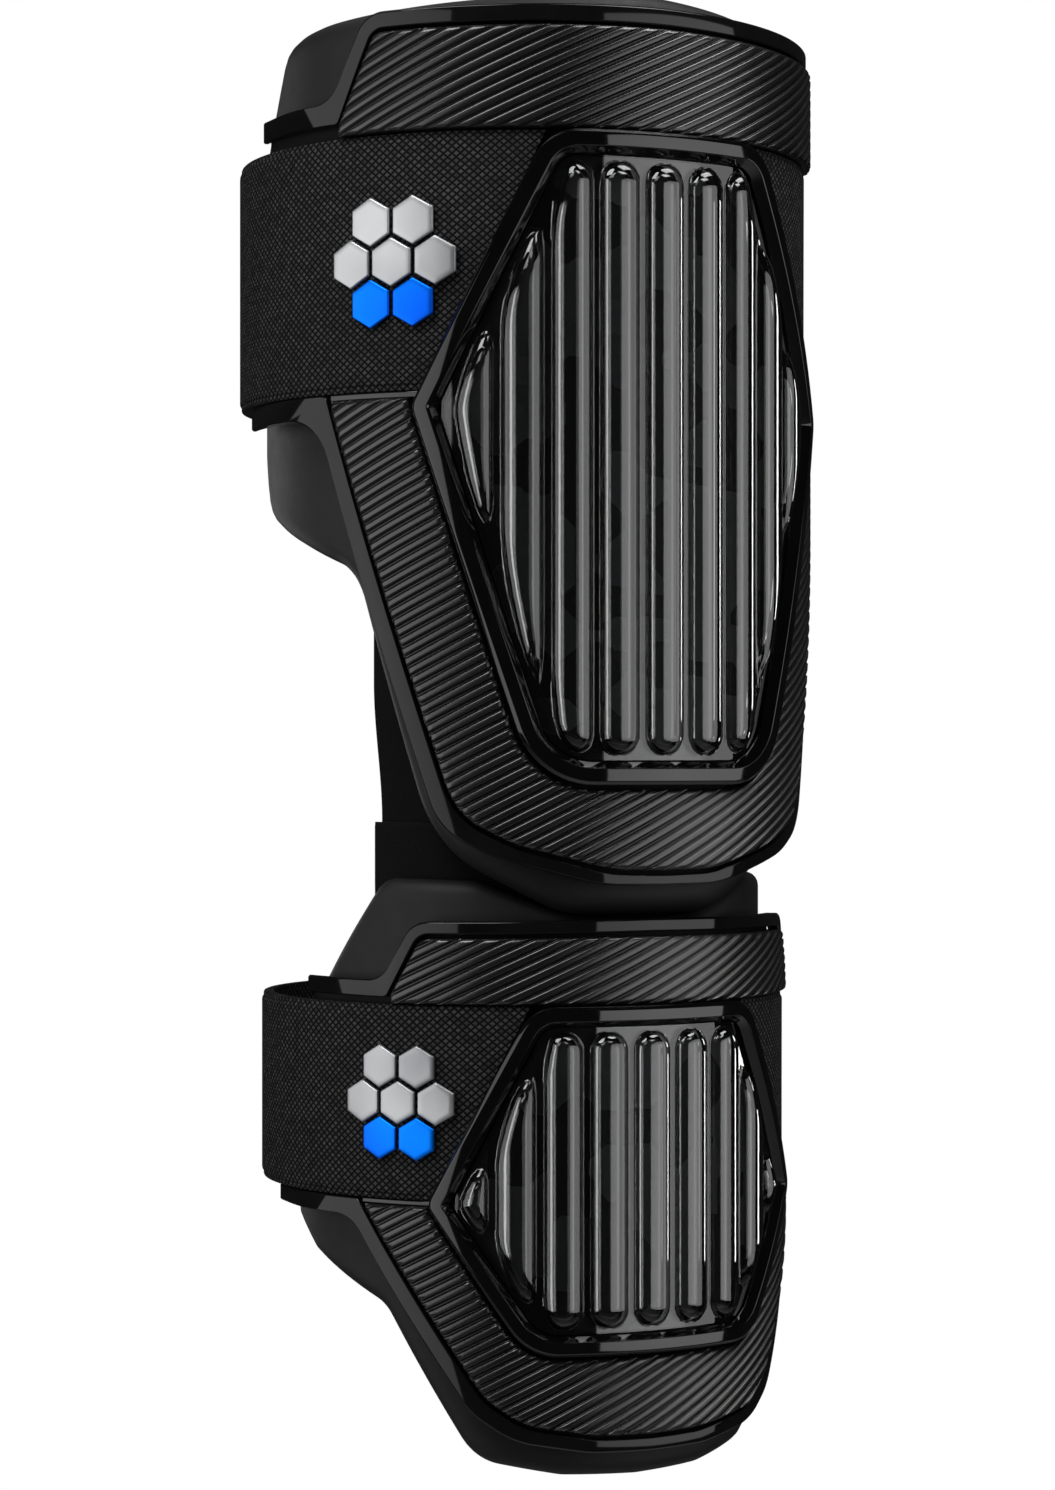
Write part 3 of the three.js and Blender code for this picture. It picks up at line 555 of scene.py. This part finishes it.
# Pads: moulded foam, round at every edge, with a wing at each side. Rows of an edge are
# turn, share of the height above or below the strap, and round as a share of the same.
pads = {
    "upper": {
        "thickTop": 8.6, "thickBottom": 8.6, "roundOut": 4.2, "roundIn": 3.2,  # mm
        "wingTurn": 74, "wingLean": 5,
        "topEdge": [(0, 1, 0, 0), (62, 0.9, 1.38, 0), (102, 0.84, 0.48, 0), (116, 0.3, 0, 0)],
        "bottomEdge": [(0, 1, 0, 0), (19, 1, 0.23, 0), (48, 0.875, 0.27, 0), (68, 0.34, 0.12, 0),
                       (106, 0.228, 0.13, 0), (116, 0.1, 0, 0)],
    },
    "lower": {
        "thickTop": 4.9, "thickBottom": 8.6, "roundOut": 2.8, "roundIn": 1.8,
        "wingTurn": 60, "wingLean": 1,
        "topEdge": [(0, 0.68, 0, 0), (15, 0.69, 0.48, 0), (39, 0.98, 0.32, 0), (63, 1, 0.28, 0),
                    (87, 0, 0, 0), (97, -0.4, 0, 0)],
        "bottomEdge": [(0, 1, 0, 0), (19, 0.99, 0.36, 0), (39.5, 0.935, 0.25, 0),
                       (62.5, 0.4, 0.15, 0), (87, 0.24, 0.18, 0), (97, 0.12, 0, 0)],
    },
}


def makePad(guard):
    # outer and inner radii run straight in height; both fall back round the edge, and the
    # wings lean in above the strap by a smooth step along the arc
    pad = pads[guard["name"]]
    low = mirrored(rounded(edgeCorners(guard, pad["bottomEdge"], -1)))
    high = mirrored(rounded(edgeCorners(guard, pad["topEdge"], 1)))
    end = low[:, 0].max()
    start = arcAt(guard, pad["wingTurn"])

    def lean(x, y):
        out = np.clip((np.abs(x) - start) / (end - start), 0, 1)
        up = np.clip((y - guard["strapHigh"]) / guard["aboveStrap"], 0, 1)
        return pad["wingLean"] * out ** 2 * (3 - 2 * out) * up

    def outerAt(x, y, far):
        return guard["padOuter"] - roundOff(far, pad["roundOut"]) - lean(x, y)

    def innerAt(x, y, far):
        up = (y - guard["bottom"]) / (guard["top"] - guard["bottom"])
        thick = pad["thickBottom"] + (pad["thickTop"] - pad["thickBottom"]) * up
        return guard["padOuter"] - thick + roundOff(far, pad["roundIn"]) - lean(x, y)

    obj = plateMesh(guard["name"] + "Pad", guard, low, high, end, outerAt, innerAt, foam,
                    [guard["name"] + "_pad"], "foam", step=0.9, bend=pad["roundOut"], rows=60)


# Rims and panels share these edges. The fourth number of a row is the rim's width after it,
# as a share of rimWidth. tabHigh to tabFade shape the rims' tabs, rise and lip their crest.
panelEdges = {
    "upper": {
        "top": [(66.2, 0.02, 0, 1), (57.2, 0.69, 0.1, 1), (0, 0.71, 0, 1)],
        "bottom": [(67.9, 0.015, 0, 1.06), (40.5, 0.81, 0.16, 0.97), (29, 0.866, 0.29, 0.76),
                   (11, 0.913, 0.29, 0.65), (0, 0.915, 0, 0.65)],
        "tabHigh": 4.4, "tabGap": 2.8, "tabTopTurn": 94.5, "tabBottomTurn": 104, "tabFade": 30,
        "rise": 2.9, "lip": 0.9,
    },
    "lower": {
        "top": [(57.2, 0.03, 0, 0.87), (49.6, 0.53, 0.12, 0.87), (0, 0.55, 0, 0.73)],
        "bottom": [(63.4, 0.02, 0, 1.13), (35.6, 0.7, 0.21, 1.07), (27.5, 0.79, 0.29, 0.93),
                   (12, 0.832, 0.36, 0.87), (0, 0.836, 0, 0.87)],
        "tabHigh": 3.4, "tabGap": 1.4, "tabTopTurn": 83, "tabBottomTurn": 98, "tabFade": 26,
        "rise": 2.5, "lip": 0.8,
    },
}


def edgesOf(guard):
    # the panels' edges, the rims one groove outside them, and the rims' tabs along the strap
    sizes = panelEdges[guard["name"]]
    topPanel = edgeCorners(guard, sizes["top"], 1)
    bottomPanel = edgeCorners(guard, sizes["bottom"], -1)

    def withTab(path, height, turn):
        meet = crossing(np.array([0, height]), np.array([1.0, 0]), path[0, :2],
                        path[1, :2] - path[0, :2])
        return np.vstack([[arcAt(guard, turn), height, 0, sizes["tabHigh"]],
                          [*meet, 1, path[0, 3]], path[1:]])

    rimTop = withTab(shifted(topPanel, -guard["groove"]), guard["strapHigh"] + sizes["tabGap"],
                     sizes["tabTopTurn"])
    rimBottom = withTab(shifted(bottomPanel, guard["groove"]), guard["strapLow"] - gap,
                        sizes["tabBottomTurn"])
    rimTopOuter = shifted(rimTop, -rimTop[:, 3])
    rimBottomOuter = shifted(rimBottom, rimBottom[:, 3])
    rimTopOuter[1, 2] = 2 * sizes["tabHigh"]
    rimBottomOuter[1, 2] = 3 * sizes["tabHigh"]
    paths = {"topPanel": topPanel, "bottomPanel": bottomPanel, "rimTop": rimTop,
             "rimTopOuter": rimTopOuter, "rimBottom": rimBottom,
             "rimBottomOuter": rimBottomOuter}
    return {name: mirrored(rounded(path)) for name, path in paths.items()}


rimBreak = {"out": 0.35, "in": 0.25, "ease": 0.15}  # mm, bevels of the crest's two edges


def makeRim(guard, edges, key, node):
    # a flat crest with broken edges, which sinks to a thin lip along the tabs by a smooth step
    sizes = panelEdges[guard["name"]]
    inner, outer = edges[key], edges[key + "Outer"]
    lip = guard["seat"] + sizes["lip"]
    tabEnd = inner[:, 0].max()

    def sectionAt(a, b, wide):
        far = np.clip((np.abs(b[:, 0]) - tabEnd + sizes["tabFade"]) / sizes["tabFade"], 0, 1)
        crest = lip + (sizes["rise"] - sizes["lip"]) * (1 - far ** 2 * (3 - 2 * far))
        zero = np.zeros_like(wide)
        seat = zero + guard["seat"]
        out, inward = rimBreak["out"], rimBreak["in"]
        return np.stack([
            np.stack([zero, seat], 1), np.stack([zero, crest - out], 1),
            np.stack([zero + out, crest], 1), np.stack([wide - inward, crest], 1),
            np.stack([wide, crest - inward], 1), np.stack([wide, seat], 1)], 1)

    ease = [0] + [rimBreak["ease"]] * 4 + [0]
    bandMesh(guard["name"] + key[0].upper() + key[1:], guard, outer, inner, sectionAt, ease,
             rimGloss, [node], "shell")


# Frames: six-sided, with a bevel outside, a flat crest and a slope down to the window
frames = {
    "upper": {"thick": 5.4, "bevel": 0.8, "crest": 2.5, "fall": 2.0, "width": 4.6,
              "topTurn": 23.2, "waistTurn": 49, "footTurn": 25.6, "waistDrop": 3.3,
              "footDrop": 77.4, "rounds": (10, 4.5, 16)},
    "lower": {"thick": 4.8, "bevel": 0.7, "crest": 2.2, "fall": 1.8, "width": 3.9,
              "topTurn": 26, "waistTurn": 47.8, "footTurn": 26.8, "waistDrop": 0.7,
              "footDrop": 30.1, "rounds": (8, 3.5, 12)},
    "ease": [0, 0.25, 0.2, 0.2, 0.1, 0],  # mm, small rounds of the section's corners
}


def frameCorners(guard):
    sizes = frames[guard["name"]]
    right = np.array([
        [arcAt(guard, sizes["topTurn"]), guard["strapHigh"], sizes["rounds"][0], 0],
        [arcAt(guard, sizes["waistTurn"]), guard["strapLow"] - sizes["waistDrop"],
         sizes["rounds"][1], 0],
        [arcAt(guard, sizes["footTurn"]), guard["strapLow"] - sizes["footDrop"],
         sizes["rounds"][2], 0]])
    return np.concatenate([right, (right * [-1, 1, 1, 1])[::-1]])


def frameOutline(guard, inward):
    return rounded(shifted(frameCorners(guard), -inward, True), True)


def halfOf(outline, side):
    # the part of a closed outline above (1) or below (-1) its widest point, left to right
    split = outline[np.argmax(outline[:, 0]), 1]
    half = outline[side * (outline[:, 1] - split) >= -1e-6]
    return half[np.argsort(half[:, 0], kind="stable")]


def makeFrame(guard):
    sizes = frames[guard["name"]]
    crest = guard["seat"] + sizes["thick"]
    flatEnd = sizes["bevel"] + sizes["crest"]
    section = np.array([[0, guard["seat"]], [0, crest - sizes["bevel"]], [sizes["bevel"], crest],
                        [flatEnd, crest], [sizes["width"], crest - sizes["fall"]],
                        [sizes["width"], guard["seat"]]])

    def sectionAt(a, b, wide):
        return np.broadcast_to(section, (len(a), *section.shape))

    bandMesh(guard["name"] + "Frame", guard, frameOutline(guard, 0),
             frameOutline(guard, sizes["width"]), sectionAt, frames["ease"], gloss,
             [guard["name"] + "_frame"], "shell", closed=True)


# Ribbed panels: slanted ribs with a narrow groove between two fine ridges
ribs = {
    "upper": {"pitch": 2.2, "bevel": 0.9},
    "lower": {"pitch": 2.2, "bevel": 0.8},
    "slopeTop": 24.5, "slopeBottom": 26.5,  # degrees, rising to the right
    "deep": 0.75,  # mm from the rib's top to the groove
    "inset": 0.6,  # mm between the panel's ends and the corners of its edge
    # share of the pitch from the middle of a groove, and height as a share of deep
    "profile": [(0.0, 0.0), (0.04, 0.03), (0.08, 0.5), (0.12, 0.58), (0.16, 0.44), (0.2, 0.72),
                (0.25, 0.93), (0.34, 0.985), (0.5, 1.0)],
}


def ribbedMesh(name, guard, low, high, end, degrees, node, step=0.8):
    # Rows follow the ribs: v is the height less the slope times x, and where a row leaves the
    # panel it stays on its edge. The radius is the face less the groove's depth at v and less
    # the round at the panel's edge.
    sizes = ribs[guard["name"]]
    slope = math.tan(math.radians(degrees))
    x = columnsAt(end, step)
    bottom, top = heightAt(low, x), heightAt(high, x)
    marks, heights = np.array(ribs["profile"]).T
    marks = np.concatenate([marks, 1 - marks[-2:0:-1]])
    first = math.floor((bottom - slope * x).min() / sizes["pitch"])
    last = math.ceil((top - slope * x).max() / sizes["pitch"])
    v = ((np.arange(first, last)[:, None] + marks) * sizes["pitch"]).ravel()
    y = np.clip(v + slope * x[:, None], bottom[:, None], top[:, None])
    phase = ((y - slope * x[:, None]) / sizes["pitch"]) % 1
    share = np.interp(np.minimum(phase, 1 - phase), np.array(ribs["profile"])[:, 0], heights)
    grid = np.broadcast_to(x[:, None], y.shape)
    edge = roundOff(edgeDistance(low, high, end, x, y), sizes["bevel"])
    outer = guard["face"] - np.maximum(ribs["deep"] * (1 - share), edge)
    count, rows = y.shape
    seat = np.full((count, 1), guard["seat"])
    # the body: the face's rows, then the two bottom corners of each column
    rings = np.concatenate([
        wrapped(guard, grid, y, outer),
        wrapped(guard, x[:, None], top[:, None], seat),
        wrapped(guard, x[:, None], bottom[:, None], seat)], 1)
    number = np.arange(count * (rows + 2)).reshape(count, rows + 2)
    here, ahead = number[:-1], number[1:]
    quads = np.stack([here, np.roll(here, -1, 1), np.roll(ahead, -1, 1), ahead], -1)
    flat = y[:, 1:] - y[:, :-1] < 1e-9
    gone = np.zeros((count - 1, rows + 2), bool)
    gone[:, :rows - 1] = flat[:-1] & flat[1:]
    caps = [number[0], number[-1]]
    return meshPiece(name, rings.reshape(-1, 3), quads[~gone], caps, rubber, [node],
                     "ribbed_rubber", sharpAngle=50)


def makePanels(guard, edges):
    name = guard["name"]
    base = guard["strapHigh"] + gap
    end = edges["topPanel"][0, 0] - ribs["inset"]
    ribbedMesh(name + "PanelTop", guard, np.array([[-end, base], [end, base]]),
               edges["topPanel"], end, ribs["slopeTop"], name + "_panel_top")
    crest = guard["strapLow"] - guard["ledge"]
    end = edges["bottomPanel"][0, 0] - ribs["inset"]
    hole = halfOf(frameOutline(guard, -guard["groove"]), -1)
    lower = hole[hole[:, 1] < crest]
    beyond = hole[hole[:, 0] > lower[-1, 0]]
    meet = lower[-1, 0] + ribs["inset"]
    if len(beyond):
        meet = np.interp(crest, [lower[-1, 1], beyond[0, 1]], [lower[-1, 0], beyond[0, 0]])
    high = np.concatenate([[[-end, crest], [-meet, crest]], lower, [[meet, crest], [end, crest]]])
    ribbedMesh(name + "PanelBottom", guard, edges["bottomPanel"], high, end,
               ribs["slopeBottom"], name + "_panel_bottom")


# Windows: clear sheet blown into upright flutes, over a dark backing
windows = {
    "upper": {"lift": 1.9, "thick": 1.0, "count": 9, "pitch": 9.9, "width": 8.2, "rise": 2.5,
              "end": 1.1, "backing": 0.6},
    "lower": {"lift": 1.7, "thick": 0.9, "count": 9, "pitch": 9.5, "width": 7.8, "rise": 2.3,
              "end": 1.0, "backing": 0.6},
    "flatness": 2.3,  # 2 makes a flute's section an ellipse, more makes its top flatter
    "wall": 0.9, "wallTop": 0.2,  # mm that a flute is narrower inside, and how much lower
    "inset": 0.6,
}


def makeWindow(guard):
    # A flute's height is a flattened ellipse of the distance to its middle line. Near the
    # window's edge that distance also counts the way to the edge, which gives the round or
    # slanted ends.
    name, sizes = guard["name"], windows[guard["name"]]
    outline = frameOutline(guard, frames[name]["width"] + gap)
    low, high = halfOf(outline, -1), halfOf(outline, 1)
    end = low[:, 0].max() - windows["inset"]
    base = guard["seat"] + sizes["lift"]
    half = sizes["width"] / 2

    def fluteAt(x, far, less):
        last = sizes["count"] // 2
        number = np.clip(np.round(x / sizes["pitch"]), -last, last)
        side = np.abs(x - number * sizes["pitch"]) / (half - less)
        edge = np.clip(1 - (far - sizes["end"] - less) / (half - less), 0, 2)
        out = np.hypot(side, edge)
        rise = sizes["rise"] - windows["wallTop"] * less
        return rise * np.sqrt(np.clip(1 - out ** windows["flatness"], 0, 1))

    def outerAt(x, y, far):
        return base + sizes["thick"] + fluteAt(x, far, 0)

    def innerAt(x, y, far):
        return base + fluteAt(x, far, windows["wall"])

    plateMesh(name + "Window", guard, low, high, end, outerAt, innerAt, clear,
              [name + "_window"], "clear", step=0.25, bend=half + sizes["end"], rows=34,
              edgeRows=18, sharpAngle=70)
    plateMesh(name + "Backing", guard, low, high, end,
              lambda x, y, far: guard["seat"] + sizes["backing"] - roundOff(far, 0.2),
              lambda x, y, far: np.full_like(far, guard["seat"]), patched, [name + "_backing"],
              "backing", step=1.5, bend=0.3, rows=20)


# Shells: hard plate under rims and panels, and the narrow gloss ledge below the strap
shells = {"edgeRound": 0.4, "ledgeRise": 2.1, "ledgeGap": 0.1, "ledgeBeyond": 0.4,
          "ledgeEase": [0, 0.3, 0.3, 0]}


def makeShell(guard, edges):
    name = guard["name"]
    low = (edges["rimBottom"] + edges["rimBottomOuter"]) / 2
    high = (edges["rimTop"] + edges["rimTopOuter"]) / 2
    end = min(low[0, 0], high[0, 0])
    outer = guard["seat"] - gap
    plateMesh(name + "Shell", guard, low, high, end,
              lambda x, y, far: outer - roundOff(far, shells["edgeRound"]),
              lambda x, y, far: np.full_like(far, guard["shellInner"]), plate,
              [name + "_shell"], "shell", step=1.5, bend=0.5, rows=40)
    # the ledge starts at the frame's side, at the height of the strap's lower edge
    hole = frameOutline(guard, -shells["ledgeGap"])
    inner = hole[np.argmin(np.abs(hole[:, 1] - guard["strapLow"]) - hole[:, 0]), 0]
    reach = edges["bottomPanel"][0, 0] + shells["ledgeBeyond"]
    crest = guard["seat"] + shells["ledgeRise"]

    def sectionAt(a, b, wide):
        section = np.array([[0, guard["seat"] - gap], [0, crest], [1, crest],
                            [1, guard["seat"] - gap]])
        return section * np.stack([wide, np.ones_like(wide)], 1)[:, None]

    for side, label in ((-1, "Left"), (1, "Right")):
        x = side * np.array([inner, reach])
        edge = [np.stack([x, np.full(2, height)], 1) for height in (
            guard["strapLow"] - guard["ledge"] + shells["ledgeGap"],
            guard["strapLow"] - shells["ledgeGap"])]
        bandMesh(name + "Ledge" + label, guard, *edge, sectionAt, shells["ledgeEase"], gloss,
                 [], "shell")


# Straps: wide woven elastic with a thin bound edge
straps = {"bind": 1.0, "bindDrop": 0.35, "bindSlope": 0.5,
          "ease": [0.1, 0.45, 0.15, 0.4, 0.4, 0.15, 0.45, 0.1]}


def makeStrap(guard):
    # from one slanted side of the frame round the back to the other; behind uprightTurn the
    # columns stand upright
    name = guard["name"]
    top, waist = frameCorners(guard)[:2, :2]
    lean = math.atan2(waist[0] - top[0], top[1] - waist[1])
    ends = [crossing(np.array([0, height]), np.array([1.0, 0]), top, waist - top)[0]
            + gap / math.cos(lean) for height in (guard["strapLow"], guard["strapHigh"])]
    lap, upright = 2 * math.pi * guard["face"], arcAt(guard, guard["uprightTurn"])
    edges = [np.array([[x, height] for x in (start, upright, lap - upright, lap - start)])
             for start, height in zip(ends, (guard["strapLow"], guard["strapHigh"]))]
    outer, low = guard["strapOuter"], guard["strapOuter"] - straps["bindDrop"]
    bind, full = straps["bind"], straps["bind"] + straps["bindSlope"]

    def sectionAt(a, b, wide):
        # each row: share of the width, distance from there, and radius
        rows = np.array([[0, 0, guard["seat"]], [0, 0, low], [0, bind, low], [0, full, outer],
                         [1, -full, outer], [1, -bind, low], [1, 0, low],
                         [1, 0, guard["seat"]]])
        across = rows[:, 0] * wide[:, None] + rows[:, 1]
        return np.stack([across, np.broadcast_to(rows[:, 2], across.shape)], -1)

    bandMesh(name + "Strap", guard, *edges, sectionAt, straps["ease"], strapFinish(outer),
             [name + "_strap"], "strap")


# Badge: seven plain six-sided cells, silver over blue
badges = {
    "upper": {"turn": 53.5, "cell": 8.4, "gap": 0.9, "thick": 0.7},
    "lower": {"turn": 54.5, "cell": 7.4, "gap": 0.8, "thick": 0.7},
    "rows": [(2, "silver"), (3, "silver"), (2, "blue")],
    # a cell's rings: size as a share of the cell's, height as a share of its thickness
    "rings": [(0.02, 1), (0.35, 1), (0.7, 1), (0.93, 1), (0.98, 0.9), (1, 0.6), (1, 0), (0.7, 0),
              (0.35, 0), (0.02, 0)],
    "points": 48,
}


def makeBadge(guard):
    # a cell is six-sided rings of growing size, curved with the strap: its middle lies
    # highest and its outer ring falls by the bevel
    sizes, name = badges[guard["name"]], guard["name"]
    pitch = sizes["cell"] + sizes["gap"]
    centre = guard["strapLow"] + guard["strapWidth"] / 2
    inner = guard["strapOuter"] + gap
    angle = np.arange(badges["points"]) * 2 * math.pi / badges["points"]
    corner = np.radians(60)
    reach = np.cos(corner / 2) / np.cos((angle % corner) - corner / 2)  # edge of a six-sided cell
    across, height = np.array(badges["rings"], float).T[:, :, None]
    number = 0
    for row, (cells, colour) in enumerate(badges["rows"]):
        for i in range(cells):
            number += 1
            along = (i - (cells - 1) / 2) * pitch * guard["face"]
            middle = -np.radians(sizes["turn"]) * guard["face"] \
                + along / (inner + sizes["thick"] / 2)
            size = across * sizes["cell"] / math.sqrt(3) * reach
            x = middle + size * np.sin(angle) * guard["face"] / inner
            y = centre + (1 - row) * pitch * math.sqrt(3) / 2 + size * np.cos(angle)
            rings = wrapped(guard, x, y, inner + sizes["thick"] * height)
            look = silver if colour == "silver" else blue
            ringMesh(f"{name}BadgeCell{number}", rings, False, look,
                     [f"{name}_badge_cell_{number}"], "badge_" + colour, sharpAngle=50)


for guard in guards.values():
    edges = edgesOf(guard)
    makePad(guard)
    makeShell(guard, edges)
    makeRim(guard, edges, "rimTop", guard["name"] + "_rim_top")
    makeRim(guard, edges, "rimBottom", guard["name"] + "_rim_bottom")
    makeFrame(guard)
    makePanels(guard, edges)
    makeWindow(guard)
    makeStrap(guard)
    makeBadge(guard)
    print(guard["name"], "guard made")


# Tongues: stretch fabric behind the elbow, the upper one inside the lower one
tongues = {"halfTurn": 71, "thick": 1.8, "round": 0.8,
           "hem": 15.5, "lap": 20,  # height of the lower one's hem, reach of the upper one below
           "tuckUp": 26, "tuckDown": 30, "swell": 14}


def tongueMesh(name, node, levels):
    # the outer radius follows the levels by a smooth step between them; both faces are
    # one thickness apart and the edges are round
    up = guards["upper"]
    end = arcAt(up, tongues["halfTurn"])
    heights, radii = np.array(levels).T

    def radiusAt(y):
        place = np.clip(np.searchsorted(heights, y, side="right") - 1, 0, len(heights) - 2)
        t = (y - heights[place]) / (heights[place + 1] - heights[place])
        t = np.clip(t, 0, 1)
        return radii[place] + (radii[place + 1] - radii[place]) * t * t * (3 - 2 * t)

    def outerAt(x, y, far):
        return radiusAt(y) - roundOff(far, tongues["round"])

    def innerAt(x, y, far):
        return radiusAt(y) - tongues["thick"] + roundOff(far, tongues["round"])

    low, high = [np.array([[-end, height], [end, height]]) for height in heights[[0, -1]]]
    obj = plateMesh(name, up, low, high, end, outerAt, innerAt, cloth, [node], "fabric",
                    step=1.0, bend=0.9, rows=60)


up, down = guards["upper"], guards["lower"]
padStart = heightAt(mirrored(rounded(edgeCorners(up, pads["upper"]["bottomEdge"], -1))),
                    arcAt(up, tongues["halfTurn"]))
inPad = up["padOuter"] - pads["upper"]["thickTop"] - gap
lowerInner = down["padOuter"] - pads["lower"]["thickTop"] - gap
inTongue = lowerInner - tongues["thick"] - gap
tongueMesh("tongueUpper", "tongue_upper", [
    (tongues["hem"] - tongues["lap"], inTongue), (tongues["hem"] + gap, inTongue),
    (tongues["hem"] + 2 * tongues["swell"], inPad), (padStart + tongues["tuckUp"], inPad)])
tuckLow = down["top"] - tongues["tuckDown"]
taper = (down["top"] - tuckLow) / (down["top"] - down["bottom"]) * (
    pads["lower"]["thickBottom"] - pads["lower"]["thickTop"])
tongueMesh("tongueLower", "tongue_lower", [
    (tuckLow, lowerInner - taper), (down["top"], lowerInner), (tongues["hem"], lowerInner)])
print("tongues made")


# Studio: pale floor and soft boxes. A light's place is its azimuth from the front, its height
# over the guard's middle and its distance, in metres; bright is its radiance. A light with
# "only" shines on that piece of both guards, one with "skip" on all but that piece.
studio = {
    "floorDrop": 0.8, "floorRadius": 1.6, "floorSides": 96,
    "paper": (0.82, 0.82, 0.82, 1), "paperGlow": 0.85, "air": 0.012, "middle": 0.033,
    "spread": 120,  # degrees, of the lights without their own
    "lights": [
        {"name": "leftBox", "azimuth": -91, "up": 0, "away": 0.9, "size": (1.3, 0.78),
         "bright": 0.85, "spread": 130},
        {"name": "frontBox", "azimuth": 33, "up": 0, "away": 1.0, "size": (1.13, 0.7),
         "bright": 1.1, "spread": 140},
        {"name": "stripUpper", "azimuth": 82, "up": 0.136, "away": 1.1, "size": (0.12, 0.262),
         "bright": 6.0, "only": "Window"},
        {"name": "stripLower", "azimuth": 82, "up": -0.196, "away": 1.1, "size": (0.12, 0.114),
         "bright": 6.0, "only": "Window"},
        {"name": "leftStrip", "azimuth": -68, "up": 0, "away": 1.1, "size": (0.26, 0.8),
         "bright": 2.2, "only": "Window"},
        {"name": "topBox", "azimuth": 40, "up": 0.85, "away": 0.45, "size": (0.6, 0.5),
         "bright": 3.4, "skip": "Frame"},
        {"name": "shoulderBox", "azimuth": -60, "up": 0.7, "away": 0.58, "size": (0.5, 0.45),
         "bright": 3.4, "skip": "Frame"},
        {"name": "rearBox", "azimuth": -165, "up": 0, "away": 1.0, "size": (0.4, 0.6),
         "bright": 0.8, "only": "Pad"},
        {"name": "backBox", "azimuth": 180, "up": 0.8, "away": 0.42, "size": (0.5, 0.4),
         "bright": 0.3},
    ],
}


def makeStudio():
    floor, sides = guards["lower"]["bottom"] * mm - studio["floorDrop"], studio["floorSides"]
    turn = np.arange(sides) * 2 * math.pi / sides
    rim = np.stack([np.sin(turn), np.cos(turn), 0 * turn], 1) * studio["floorRadius"]
    mesh = bpy.data.meshes.new("paper")
    mesh.from_pydata((rim + [0, 0, floor]).tolist(), [], [list(range(sides))[::-1]])
    look = Finish("studioPaper", Base_Color=studio["paper"], Roughness=0.9)
    # pale to the camera from every side, without light of its own on the object
    seen = look.nodes.new("ShaderNodeLightPath").outputs["Is Camera Ray"]
    look.put(look.shader, Emission_Color=studio["paper"],
             Emission_Strength=look.calc("MULTIPLY", seen, studio["paperGlow"]))
    mesh.materials.append(look.material)
    paper = bpy.data.objects.new("paper", mesh)
    bpy.context.scene.collection.objects.link(paper)
    # white air behind the object, dim air all round it for its own light and reflections
    world = bpy.data.worlds.new("air")
    world.use_nodes = True
    nodes, links = world.node_tree.nodes, world.node_tree.links
    dim = nodes["Background"]
    dim.inputs[0].default_value = (1, 1, 1, 1)
    dim.inputs[1].default_value = studio["air"]
    white, path, mix = [nodes.new("ShaderNode" + kind) for kind in (
        "Background", "LightPath", "MixShader")]
    white.inputs[0].default_value = (1, 1, 1, 1)
    links.new(path.outputs["Is Camera Ray"], mix.inputs[0])
    links.new(dim.outputs[0], mix.inputs[1])
    links.new(white.outputs[0], mix.inputs[2])
    links.new(mix.outputs[0], nodes["World Output"].inputs[0])
    bpy.context.scene.world = world
    for light in studio["lights"]:
        lamp = bpy.data.lights.new(light["name"], "AREA")
        lamp.shape = "RECTANGLE"
        lamp.size, lamp.size_y = light["size"]
        lamp.energy = light["bright"] * math.pi * lamp.size * lamp.size_y
        lamp.spread = math.radians(light.get("spread", studio["spread"]))
        turn, tilt = math.radians(light["azimuth"]), math.atan2(light["up"], light["away"])
        obj = bpy.data.objects.new(light["name"], lamp)
        obj.location = (light["away"] * math.sin(turn), -light["away"] * math.cos(turn),
                        studio["middle"] + light["up"])
        obj.rotation_euler = (math.pi / 2 - tilt, 0, turn)
        if "only" in light or "skip" in light:
            lit = bpy.data.collections.new(light["name"] + "Shines")
            chosen = [name + light.get("only", light.get("skip")) for name in guards]
            for piece in [item for item in bpy.data.objects if item.type == "MESH"]:
                if (piece.name in chosen) == ("only" in light):
                    lit.objects.link(piece)
            obj.light_linking.receiver_collection = lit
        bpy.context.scene.collection.objects.link(obj)


# mm for lens and sensor, degrees from the front, metres from the axis, aside of it and up
view = {"lens": 90.36, "sensor": 36, "turn": -28.2, "away": 0.7874, "aside": 0.00116,
        "up": 0.031, "clip": (0.05, 30)}


def makeCamera():
    lens = bpy.data.cameras.new("view")
    lens.lens = view["lens"]
    lens.sensor_width = view["sensor"]
    lens.clip_start, lens.clip_end = view["clip"]
    camera = bpy.data.objects.new("view", lens)
    turn, away, aside = math.radians(view["turn"]), view["away"], view["aside"]
    camera.location = (away * math.sin(turn) + aside * math.cos(turn),
                       -away * math.cos(turn) + aside * math.sin(turn), view["up"])
    camera.rotation_euler = (math.pi / 2, 0, turn)
    bpy.context.scene.collection.objects.link(camera)
    bpy.context.scene.camera = camera


makeStudio()
makeCamera()
bpy.context.scene.view_settings.view_transform = "Standard"
print("studio made")
